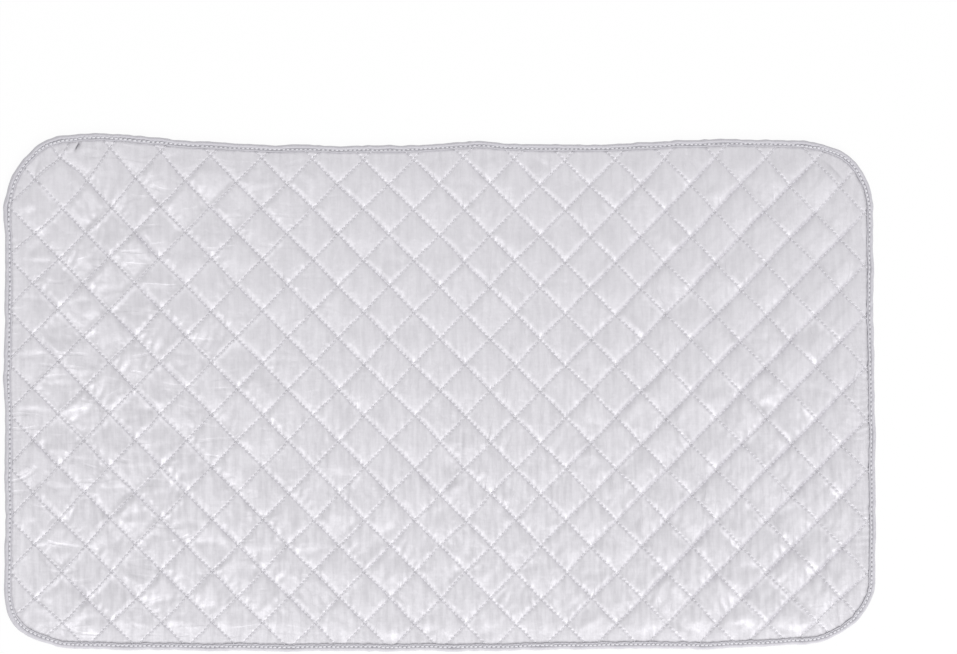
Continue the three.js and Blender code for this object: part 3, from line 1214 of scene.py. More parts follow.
# Pieces


@dataclass(frozen=True)
class Fold:
    """One short soft fold in the cloth, in millimetres, with its heading in degrees."""

    at: tuple[float, float]
    length: float
    heading: float
    width: float
    rise: float
    bow: float = 0.0

    def height(self, off: Array) -> Array:
        """Gives the fold's height.

        Args:
            off: Offsets of plan points from the fold's middle.

        Returns:
            The height at each point.
        """
        turn = math.radians(self.heading)
        run = off[:, 0] * math.cos(turn) + off[:, 1] * math.sin(turn)
        aside = off[:, 1] * math.cos(turn) - off[:, 0] * math.sin(turn) - self.bow * run**2
        return self.rise * np.exp(-((aside / self.width) ** 2) - (2.0 * run / self.length) ** 2)


@dataclass(frozen=True)
class CreaseKind:
    """How the narrow folds of one kind lie in a cell, in millimetres, with their heading in degrees."""

    heading: float
    drift: tuple[float, float]
    rise_spread: float
    wider: float


@dataclass(frozen=True)
class CreaseField:
    """Folds that the cloth keeps from being packed: clear ones in place, and scattered faint ones."""

    plan: Plan
    placed: tuple[Fold, ...] = (
        Fold((-395.0, 127.0), 25.0, 0.0, 2.6, -1.00),
        Fold((-396.0, 91.0), 23.0, -8.0, 2.0, -0.68),
        Fold((-349.0, 89.0), 27.0, 5.0, 2.0, -0.94),
        Fold((-325.0, 100.0), 23.0, 3.0, 2.2, -1.00),
        Fold((-275.0, 101.0), 25.0, 0.0, 3.6, -0.81),
        Fold((-398.0, 38.0), 37.0, 0.0, 2.4, -0.94),
        Fold((-374.0, 11.0), 27.0, 0.0, 2.6, -1.00),
        Fold((-376.0, 56.0), 19.0, 0.0, 2.6, -0.81),
        Fold((-297.0, 47.0), 29.0, -4.0, 2.0, -1.00),
        Fold((-256.0, 40.0), 33.0, -12.0, 2.2, -1.00),
        Fold((-402.0, -13.0), 21.0, 0.0, 2.6, -0.94),
        Fold((-350.0, -59.0), 21.0, 0.0, 2.0, -0.81),
        Fold((-371.0, -85.0), 33.0, 0.0, 2.0, -0.61),
        Fold((-321.0, -86.0), 35.0, 0.0, 2.0, -0.61),
        Fold((-347.0, -97.0), 13.0, 0.0, 1.6, -1.00),
        Fold((-402.0, -162.0), 35.0, -66.0, 2.6, -1.00),
        Fold((-397.0, -112.0), 23.0, -55.0, 2.8, 1.00),
        Fold((-349.0, -159.0), 33.0, 90.0, 2.0, -1.00),
        Fold((-340.0, -161.0), 29.0, 90.0, 2.0, -0.94),
        Fold((-303.0, -104.0), 27.0, 85.0, 2.0, -0.81),
        Fold((-250.0, -107.0), 33.0, 90.0, 2.4, 0.94),
        Fold((-304.0, -169.0), 25.0, -35.0, 2.8, 1.00),
        Fold((-388.0, -203.0), 37.0, -42.0, 3.8, -1.00),
        Fold((-292.0, -208.0), 29.0, 90.0, 2.0, -0.94),
        Fold((-234.0, -176.0), 33.0, 90.0, 2.0, -0.94),
        Fold((-219.0, -179.0), 29.0, 90.0, 2.0, -0.94),
        Fold((-347.0, -203.0), 15.0, 60.0, 4.8, 1.00),
        Fold((-232.0, -137.0), 23.0, 0.0, 2.2, -1.00),
        Fold((-278.0, -131.0), 19.0, 0.0, 2.2, -0.81),
        Fold((337.0, -167.0), 25.0, 50.0, 3.6, 1.00),
        Fold((316.0, -184.0), 27.0, 55.0, 3.8, 1.00),
        Fold((293.0, -212.0), 23.0, 45.0, 4.0, 1.00),
        Fold((242.0, -218.0), 23.0, 40.0, 3.6, 1.00),
        Fold((365.0, -144.0), 23.0, 65.0, 3.2, 1.00),
        Fold((378.0, -142.0), 19.0, 60.0, 2.6, -1.00),
        Fold((391.0, -113.0), 25.0, 62.0, 3.6, 1.00),
        Fold((240.0, -165.0), 35.0, 88.0, 2.6, 1.00),
        Fold((224.0, -98.0), 35.0, 90.0, 2.4, 1.00),
        Fold((269.0, -106.0), 29.0, 88.0, 2.4, 0.94),
        Fold((-260.0, 225.0), 29.0, 15.0, 2.6, -1.00),
        Fold((-167.0, 34.0), 120.0, 0.0, 2.4, -0.45),
    )
    pleats: tuple[Fold, ...] = (
        Fold((-353.8, 229.6), 9.5, 48.0, 1.6, -2.0),
        Fold((-362.4, 227.5), 20.0, 25.0, 2.2, 0.8),
        Fold((-345.0, 226.5), 20.0, -5.0, 2.4, 0.7),
        Fold((-393.1, 208.8), 18.0, 75.0, 1.6, -0.6),
        Fold((384.6, 212.4), 34.0, -44.0, 1.5, -0.65),
        Fold((19.6, -44.0), 56.0, 90.0, 1.6, -0.6),
    )
    left: Onset = Onset(-120.0, -300.0)
    front: Onset = Onset(40.0, -180.0)
    least_inset: float = 10.0
    creases_per_cell: float = 1.0
    across: CreaseKind = CreaseKind(0.0, (3.0, 7.0), 0.5, 1.7)
    upright: CreaseKind = CreaseKind(90.0, (7.0, 5.0), 0.32, 1.0)
    across_least: float = 0.1
    across_more: float = 0.75
    crease_turn: float = 8.0
    crease_length: tuple[float, float] = (24.0, 44.0)
    crease_rise: float = -0.1
    crease_limits: tuple[float, float] = (-0.8, 0.7)
    crease_width: tuple[float, float] = (1.5, 2.3)
    crease_bow: float = 0.005
    crease_forward: float = 2.0
    lumps_per_cell: float = 2.2
    lumps_anywhere: float = 0.3
    lump_drift: float = 8.0
    lump_heading: tuple[float, float] = (90.0, 45.0)
    lump_length: tuple[float, float] = (14.0, 34.0)
    lump_width: tuple[float, float] = (3.0, 6.0)
    lump_rise: float = 0.55
    lump_rise_more: float = 0.4
    most_rise: float = 1.1
    most_together: float = 1.4
    off_row_free: Onset = Onset(0.6, 4.5)
    off_tape_slower: float = 3.0
    pleat_free: Onset = Onset(-0.5, 2.0)
    darkest_at: float = 1.25
    seed: int = 51

    def folds(self) -> list[Fold]:
        """Lists the folds.

        Returns:
            The placed folds and the scattered ones of every cell.
        """
        rng = np.random.default_rng(self.seed)
        quilt = self.plan.quilt
        reach = self.plan.rows_each_way
        steps = (np.arange(-reach, reach) + 0.5) * quilt.spacing
        middles = quilt.from_rows(np.stack(np.meshgrid(steps, steps), axis=-1).reshape(-1, 2))
        made = list(self.placed)
        for middle in middles[self.plan.outline.inset(middles) > self.least_inset]:
            made += self._creases(rng, middle)
            made += self._lumps(rng, middle)
        return made

    def _creases(self, rng: np.random.Generator, middle: Array) -> list[Fold]:
        """Scatters narrow folds in a cell, across it at the pad's left side and upright elsewhere.

        Args:
            rng: The seeded source of the folds.
            middle: The cell's middle.

        Returns:
            The folds.
        """
        made = []
        for _ in range(rng.poisson(self.creases_per_cell)):
            likely = self.across_least + self.across_more * self.left.at(middle[0])
            kind = self.across if rng.random() < likely else self.upright
            drift = rng.normal(0.0, 1.0, 2) * kind.drift
            heading = rng.normal(kind.heading, self.crease_turn)
            length = rng.uniform(*self.crease_length)
            rise = np.clip(rng.normal(self.crease_rise, kind.rise_spread), *self.crease_limits)
            width = rng.uniform(*self.crease_width) * kind.wider
            at = middle + drift - np.array([0.0, self.crease_forward])
            made.append(Fold((at[0], at[1]), length, heading, width, rise, rng.normal(0.0, self.crease_bow)))
        return made

    def _lumps(self, rng: np.random.Generator, middle: Array) -> list[Fold]:
        """Scatters broad soft folds in a cell, more of them towards the left and the front.

        Args:
            rng: The seeded source of the folds.
            middle: The cell's middle.

        Returns:
            The folds.
        """
        slack = max(self.left.at(middle[0]), self.front.at(middle[1]))
        usual = self.lumps_per_cell * (self.lumps_anywhere + (1.0 - self.lumps_anywhere) * slack)
        made = []
        for _ in range(rng.poisson(usual)):
            at = middle + rng.normal(0.0, self.lump_drift, 2)
            heading = rng.normal(*self.lump_heading)
            rise = rng.normal(0.0, self.lump_rise + self.lump_rise_more * slack)
            rise = np.clip(rise, -self.most_rise, self.most_rise)
            length = rng.uniform(*self.lump_length)
            made.append(Fold((at[0], at[1]), length, heading, rng.uniform(*self.lump_width), rise))
        return made

    def heights(self, xy: Array, off_row: Array, past_tape: Array) -> Array:
        """Gives the folds' height, which the rows and the tape hold down.

        Args:
            xy: Plan points in millimetres.
            off_row: Their distances from the nearest row.
            past_tape: Their distances from the tape.

        Returns:
            The height of all folds at each point.
        """
        free = self.off_row_free.at(np.minimum(off_row, past_tape / self.off_tape_slower))
        loose = self.most_together * np.tanh(self._sum(self.folds(), xy) / self.most_together)
        return loose * free + self._sum(self.pleats, xy) * self.pleat_free.at(past_tape)

    def shade(self, xy: Array) -> Array:
        """Goes from 0 on open cloth to 1 in the deepest pleat, for plan points."""
        return np.clip(-self._sum(self.pleats, xy) / self.darkest_at, 0.0, 1.0)

    @staticmethod
    def _sum(folds: Iterable[Fold], xy: Array) -> Array:
        """Adds up folds.

        Args:
            folds: The folds.
            xy: Plan points in millimetres.

        Returns:
            Their height at each point.
        """
        order = np.argsort(xy[:, 0])
        sorted_x = xy[order, 0]
        total = np.zeros(len(xy))
        for fold in folds:
            ends = np.searchsorted(sorted_x, [fold.at[0] - fold.length, fold.at[0] + fold.length])
            near = order[slice(*ends)]
            total[near] += fold.height(xy[near] - np.array(fold.at))
        return total


@dataclass(frozen=True)
class PocketSites:
    """Where the magnet pockets lie between the cloths."""

    plan: Plan
    middles: tuple[Array, ...]

    def near(self, xy: Array, full: float, none: float) -> Array:
        """Tells how near the pockets plan points are.

        Args:
            xy: Plan points in millimetres.
            full: Distance from a pocket's middle, square to its sides, up to which it counts in full.
            none: Distance from which it doesn't count.

        Returns:
            A share from 0 beside the pockets to 1 over them.
        """
        lying = self.plan.lie.place(xy)
        offs = [np.abs(lying - middle).sum(axis=1) / ROOT_2 for middle in self.middles]
        return swell(np.min(offs, axis=0), none, full)


@dataclass
class FaceCloth:
    """The coated cloth on top, puffed up between the rows."""

    plan: Plan
    relief: Relief
    creases: CreaseField
    pockets: PocketSites
    seat: float = 3.6
    edge_lift: float = 0.4
    inland: Onset = Onset(-6.0, 26.0)
    crown: float = 2.5
    left: Onset = Onset(-80.0, -330.0)
    front: Onset = Onset(40.0, -180.0)
    off_tape_from: float = 8.0
    off_tape_slower: float = 6.0
    crumple: float = 0.3
    crumple_more: float = 0.6
    crumple_free: Onset = Onset(0.5, 5.0)
    groove_depth: float = 0.08
    groove_reach: float = 0.9
    depth_at: tuple[float, ...] = (-350.0, -100.0, 80.0, 230.0, 380.0)
    falling_depth: tuple[float, ...] = (0.85, 0.9, 0.8, 0.32, 0.10)
    rising_depth: tuple[float, ...] = (0.14, 0.5, 0.6, 1.35, 1.7)
    shoulder: tuple[float, ...] = (6.5, 5.0, 4.8, 5.0, 5.2)
    steep: tuple[float, ...] = (6.5, 4.0, 3.8, 3.8, 3.8)
    steep_share: float = 0.55
    steep_behind: float = 0.08
    longer_behind: float = 1.7
    steep_varies: float = 0.5
    steep_limits: tuple[float, float] = (0.3, 1.6)
    steep_band: WaveBand = WaveBand(14, 40.0, 110.0)
    corner_power: float = 5.0
    lean: float = 0.5
    lean_more: float = 1.6
    lean_free: Onset = Onset(0.5, 5.5)
    lean_right: Onset = Onset(60.0, 330.0)
    lean_right_front: Onset = Onset(40.0, -140.0)
    lean_right_least: float = 0.45
    lean_right_more: float = 0.75
    cover: float = 5.8
    cover_half: float = 10.2
    cover_fade: float = 20.0
    rim: float = 3.4
    tape_edge: float = 6.4
    pucker: float = 0.35
    pucker_pitch: float = 6.5
    pucker_reach: float = 6.0
    pucker_from: Onset = Onset(-2.0, 1.5)
    pucker_drift: float = 2.2
    drift_band: WaveBand = WaveBand(10, 20.0, 60.0)
    pucker_size: float = 0.6
    pucker_varies: float = 0.5
    pucker_most: float = 1.2
    size_band: WaveBand = WaveBand(10, 25.0, 80.0)
    gathered_right: Onset = Onset(330.0, 400.0)
    gathered_at: float = -70.0
    gathered_half: Onset = Onset(130.0, 70.0)
    offsets: tuple[float, ...] = (0.0, 0.7, 1.7, 3.0, 4.6, 6.3, 8.1, 9.95, 11.8, 13.65, 15.5)
    cut_length: float = 0.880
    cut_width: float = 0.485
    seed: int = 21

    def points(self, xy: Array) -> Array:
        """Lays plan points on the cloth.

        Args:
            xy: Plan points in millimetres.

        Returns:
            The points of the cloth, before the pad's lie.
        """
        uv = self.plan.quilt.to_rows(xy)
        moved = self.relief.at(uv)
        off_row = self.plan.quilt.off_row(uv)
        past_tape = self.plan.outline.inset(xy) - self.tape_edge
        off_seam = np.minimum(off_row, (past_tape - self.off_tape_from) / self.off_tape_slower)
        inland = self.inland.at(past_tape)
        loose = np.maximum(self.front.at(xy[:, 1]), self.left.at(xy[:, 0]))
        crumple = self.crumple + self.crumple_more * loose
        height = self.seat + self.edge_lift * (1.0 - inland)
        height += self._dome(xy, uv) * inland
        height += crumple * moved[:, 2] * self.crumple_free.at(off_seam)
        height += self._leans(xy, uv) * self.lean_free.at(off_seam)
        height -= self.groove_depth * np.exp(-((off_row / self.groove_reach) ** 2))
        height += self.creases.heights(xy, off_row, past_tape)
        height += self._tape_puckers(xy)
        height += np.maximum(self.cover - height, 0.0) * self.over_pocket(xy)
        return np.column_stack([xy + moved[:, :2], height])

    def _dome(self, xy: Array, uv: Array) -> Array:
        """Swells each cell between its rows, which dip by the part of the pad and fall steeply to the front.

        Args:
            xy: Plan points in millimetres.
            uv: Their row coordinates.

        Returns:
            The height over the rows.
        """
        runs = (self.falling_depth, self.rising_depth)
        depth = np.column_stack([np.interp(xy[:, 0], self.depth_at, run) for run in runs])
        deepest = depth.max(axis=1)
        ahead = self.plan.quilt.past_rows(uv) > 0.0
        off_rows = self.plan.quilt.off_rows(uv)
        uneven = 1.0 + self.steep_varies * self.steep_band.over(np.random.default_rng(self.seed), xy)
        share = self.steep_share * np.clip(uneven, *self.steep_limits)
        share = np.where(ahead, share[:, None], self.steep_behind)
        shoulder = np.interp(xy[:, [0]], self.depth_at, self.shoulder)
        shoulder = shoulder * np.where(ahead, 1.0, self.longer_behind)
        ramp = np.clip(1.0 - off_rows / np.interp(xy[:, [0]], self.depth_at, self.steep), 0.0, 1.0)
        fall = share * ramp + (1.0 - share) * np.exp(-off_rows / shoulder)
        dips = depth / deepest[:, None] * fall
        dip = np.minimum((dips**self.corner_power).sum(axis=1) ** (1.0 / self.corner_power), 1.0)
        return self.crown * deepest * (1.0 - dip)

    def over_pocket(self, xy: Array) -> Array:
        """Goes from 0 beside the magnet pockets to 1 over them, for plan points."""
        return self.pockets.near(xy, self.cover_half, self.cover_fade)

    def _leans(self, xy: Array, uv: Array) -> Array:
        """Leans each cell its own way, most at the left side and the front right corner.

        Args:
            xy: Plan points in millimetres.
            uv: Their row coordinates.

        Returns:
            The height that this adds.
        """
        rng = np.random.default_rng(self.seed)
        reach = self.plan.rows_each_way
        slopes = rng.normal(0.0, 1.0, (2 * reach, 2 * reach, 2))
        spot = uv / self.plan.quilt.spacing
        cell = np.clip(np.floor(spot).astype(int) + reach, 0, 2 * reach - 1)
        right = self.lean_right_least + self.lean_right_more * self.lean_right_front.at(xy[:, 1])
        most = np.maximum(self.left.at(xy[:, 0]), self.lean_right.at(xy[:, 0]) * right)
        tilt = (slopes[cell[:, 0], cell[:, 1]] * (spot - np.floor(spot) - 0.5)).sum(axis=1)
        return (self.lean + self.lean_more * most) * tilt

    def _tape_puckers(self, xy: Array) -> Array:
        """Gives the small gathers that run in from the binding, the largest at the right side.

        Args:
            xy: Plan points in millimetres.

        Returns:
            The height that this adds.
        """
        rng = np.random.default_rng(self.seed)
        past_tape = self.plan.outline.inset(xy) - self.tape_edge
        along = self.plan.outline.around(xy)
        drift = self.pucker_drift * self.drift_band.over(rng, xy)
        size = self.pucker_size + self.pucker_varies * self.size_band.over(rng, xy)
        off_middle = np.abs(xy[:, 1] - self.gathered_at)
        gathered = 1.0 + self.gathered_right.at(xy[:, 0]) * self.gathered_half.at(off_middle)
        near = np.exp(-np.maximum(past_tape, 0.0) / (self.pucker_reach * gathered))
        near *= self.pucker_from.at(past_tape) * gathered
        size = np.clip(size, 0.0, self.pucker_most)
        return self.pucker * size * near * np.sin(along * TURN / self.pucker_pitch + drift)

    def build(self, material: bpy.types.Material) -> bpy.types.Object:
        """Builds the cloth.

        Args:
            material: The cloth's finish.

        Returns:
            The new piece.
        """
        xy, faces = QuiltGrid(self.plan, self.offsets, self.rim).cut()
        points = self.points(xy)
        points[:, :2] = self.plan.lie.place(points[:, :2])
        cloth = Shape(points, faces, self.plan.quilt.to_rows(xy)).piece("face_sheet", material)
        for name, values in ((INSET, self.plan.outline.inset(xy)), (SHADE, self.creases.shade(xy))):
            cloth.data.attributes.new(name, "FLOAT", "POINT").data.foreach_set("value", values)
        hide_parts("face_cloth")
        return cloth


@dataclass
class BackingCloth:
    """The plain cloth below, which lies flat on the table in the middle of each cell."""

    plan: Plan
    pockets: PocketSites
    seat: float = 2.25
    flat_from: float = 8.0
    under_pocket: float = 0.4
    under_half: float = 10.6
    under_fade: float = 15.0
    rim: float = 3.4
    tape_edge: float = 7.0
    ripple: float = 0.18
    ripple_free: Onset = Onset(0.0, 0.3)
    ripple_band: WaveBand = WaveBand(30, 8.0, 30.0)
    offsets: tuple[float, ...] = (0.0, 0.9, 2.2, 4.2, 7.0, 11.0)
    cut_length: float = 0.860
    cut_width: float = 0.485
    seed: int = 31

    def points(self, xy: Array) -> Array:
        """Lays plan points on the cloth.

        Args:
            xy: Plan points in millimetres.

        Returns:
            The points of the cloth, before the pad's lie.
        """
        rng = np.random.default_rng(self.seed)
        uv = self.plan.quilt.to_rows(xy)
        inset = self.plan.outline.inset(xy)
        off = np.minimum(self.plan.quilt.off_row(uv), np.maximum(inset - self.tape_edge, 0.0))
        hollow = (1.0 - np.clip(off / self.flat_from, 0.0, 1.0)) ** 2
        uneven = self.ripple * self.ripple_band.over(rng, xy) * self.ripple_free.at(hollow)
        height = np.maximum(self.seat * hollow + uneven * (1.0 - hollow), 0.0)
        beneath = self.pockets.near(xy, self.under_half, self.under_fade)
        height -= np.maximum(height - self.under_pocket, 0.0) * beneath
        return np.column_stack([xy, height])

    def build(self, material: bpy.types.Material) -> bpy.types.Object:
        """Builds the cloth.

        Args:
            material: The cloth's finish.

        Returns:
            The new piece.
        """
        xy, faces = QuiltGrid(self.plan, self.offsets, self.rim).cut()
        points = self.points(xy)
        points[:, :2] = self.plan.lie.place(points[:, :2])
        cloth = Shape(points, faces[:, ::-1], xy).piece("backing_sheet", material)
        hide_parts("backing_cloth")
        return cloth


@dataclass
class Wadding:
    """The soft fill between the two cloths."""

    plan: Plan
    face: FaceCloth
    backing: BackingCloth
    gap: float = 0.5
    slack: float = 0.8
    slack_free: Onset = Onset(0.5, 6.0)
    thinnest: float = 0.1
    rim: float = 4.6
    pocket_top: float = 4.95
    offsets: tuple[float, ...] = (0.0, 1.6, 4.0, 7.4, 11.6)

    def build(self, material: bpy.types.Material) -> bpy.types.Object:
        """Builds the fill as one closed piece, which passes over the magnet pockets.

        Args:
            material: The fill's finish.

        Returns:
            The new piece.
        """
        xy, faces = QuiltGrid(self.plan, self.offsets, self.rim).cut()
        over = self.face.over_pocket(xy)
        off_row = self.plan.quilt.off_row(self.plan.quilt.to_rows(xy))
        above = self.face.points(xy)
        above[:, 2] -= self.gap + self.slack * self.slack_free.at(off_row) * (1.0 - over)
        below = self.backing.points(xy)
        below[:, 2] += self.gap
        below[:, 2] += np.maximum(self.pocket_top - below[:, 2], 0.0) * over
        below[:, 2] = np.minimum(below[:, 2], above[:, 2] - self.thinnest)
        above[:, :2] = self.plan.lie.place(above[:, :2])
        below[:, :2] = self.plan.lie.place(below[:, :2])
        count = len(xy)
        solid = np.concatenate([faces, faces[:, ::-1] + count, self._sides(faces, count)])
        shape = Shape(np.concatenate([above, below]), solid, np.concatenate([xy, xy]))
        fill = shape.piece("wadding_fill", material)
        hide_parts("wadding")
        return fill

    @staticmethod
    def _sides(faces: Array, count: int) -> Array:
        """Joins the rims of the upper and lower side.

        Args:
            faces: The upper side's faces.
            count: The number of points on one side.

        Returns:
            The faces between the rims.
        """
        edges = np.concatenate([faces[:, [i, (i + 1) % 4]] for i in range(4)])
        forward = edges[:, 0] * count + edges[:, 1]
        back = edges[:, 1] * count + edges[:, 0]
        rim = edges[~np.isin(forward, back)]
        return np.stack([rim[:, 1], rim[:, 0], rim[:, 0] + count, rim[:, 1] + count], axis=1)


@dataclass(frozen=True)
class StitchForm:
    """One visible stitch: a short thread that dives into the cloth at both ends."""

    length: float
    radius: float
    rise: float
    dive: float
    rings: int = 6
    sides: int = 6
    taper: float = 0.8
    taper_power: int = 6
    dive_power: int = 8

    def lay(self, centres: Array, headings: Array, heights: Array, up: float) -> Shape:
        """Lays a stitch at each place.

        Args:
            centres: Plan points of the stitches' middles.
            headings: Unit directions along the stitches.
            heights: Height of the cloth under each middle.
            up: 1 on the upper side, -1 on the lower side.

        Returns:
            The shape of all stitches together.
        """
        part = np.linspace(-1.0, 1.0, self.rings)
        thick = self.radius * np.sqrt(np.maximum(1.0 - self.taper * part**self.taper_power, 0.0))
        arch = self.rise * (1.0 - part**2) - self.dive * part**self.dive_power
        turn = np.arange(self.sides) * TURN / self.sides
        sideways = np.stack([-headings[:, 1], headings[:, 0]], axis=1)
        along = part[None, :, None] * (self.length / 2) * np.ones((1, 1, self.sides))
        out = (thick[:, None] * np.cos(turn))[None]
        lift = (arch[:, None] + thick[:, None] * np.sin(turn))[None] * up
        points = np.empty((len(centres), self.rings, self.sides, 3))
        for axis in range(2):
            points[..., axis] = centres[:, None, None, axis] + along * headings[:, None, None, axis]
            points[..., axis] += out * sideways[:, None, None, axis]
        points[..., 2] = heights[:, None, None] + lift
        local = np.arange(self.rings * self.sides).reshape(self.rings, self.sides)
        after = np.roll(local, -1, axis=1)
        faces = np.stack([local[:-1], after[:-1], after[1:], local[1:]], axis=-1).reshape(-1, 4)
        if up < 0:
            faces = faces[:, ::-1]
        starts = np.arange(len(centres)) * local.size
        joined = (starts[:, None, None] + faces[None]).reshape(-1, 4)
        wound = np.broadcast_to(turn / TURN, (self.rings, self.sides))
        run = np.broadcast_to(((part + 1.0) * self.length / 2)[:, None], wound.shape)
        plan = np.tile(np.stack([run, wound], axis=-1).reshape(-1, 2), (len(centres), 1))
        return Shape(points.reshape(-1, 3), joined, plan)


@dataclass
class Quilting:
    """The lock-stitched rows that hold the layers together."""

    plan: Plan
    face: FaceCloth
    backing: BackingCloth
    upper: StitchForm = StitchForm(length=2.9, radius=0.36, rise=0.22, dive=0.6)
    lower: StitchForm = StitchForm(length=3.6, radius=0.34, rise=0.15, dive=0.45, rings=5, sides=5)
    end_inset: float = 5.0
    over: float = 0.18
    proud: float = 0.2
    proud_below: float = 0.1

    def places(self, run: RowRun) -> tuple[Array, Array]:
        """Finds where the stitches of one set of rows are.

        Args:
            run: Which set of rows.

        Returns:
            The stitches' middles in plan, and points a little further along their rows.
        """
        quilt = self.plan.quilt
        outline = self.plan.outline
        reach = self.plan.rows_each_way
        rows = np.arange(-reach, reach + 1) * quilt.spacing
        most = reach * quilt.stitches_per_cell
        marks = (np.arange(-most, most) + 0.5) * quilt.pitch
        across, along = np.meshgrid(rows, marks, indexing="ij")
        pair = (along, across) if run is RowRun.RISING else (across, along)
        uv = np.stack([side.ravel() for side in pair], axis=1)
        uv = uv[outline.inset(quilt.from_rows(uv)) > self.end_inset]
        ahead = np.array([1.0, 0.0] if run is RowRun.RISING else [0.0, 1.0])
        return quilt.from_rows(uv), quilt.from_rows(uv + ahead)

    def build(self, material: bpy.types.Material) -> list[bpy.types.Object]:
        """Builds the upper and lower stitches of both sets of rows.

        Args:
            material: The thread's finish.

        Returns:
            The four new pieces.
        """
        made = []
        for run in RowRun:
            xy, ahead = self.places(run)
            lifted = self.over if run is RowRun.FALLING else 0.0
            lying = self.plan.lie.place(xy)
            heading = self.plan.lie.place(ahead) - lying
            heading /= np.linalg.norm(heading, axis=1, keepdims=True)
            top = self.face.points(xy)[:, 2] + lifted + self.proud
            under = self.backing.points(xy)[:, 2] - lifted - self.proud_below
            under = np.maximum(under, self.lower.radius + self.lower.rise)
            for side, form, heights, up in (
                ("needle", self.upper, top, 1.0),
                ("bobbin", self.lower, under, -1.0),
            ):
                shape = form.lay(lying, heading, heights, up)
                piece = shape.piece(f"quilting_{side}_stitches_{run.value}", material)
                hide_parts(f"quilting_{side}_thread_{run.value}")
                made.append(piece)
        return made


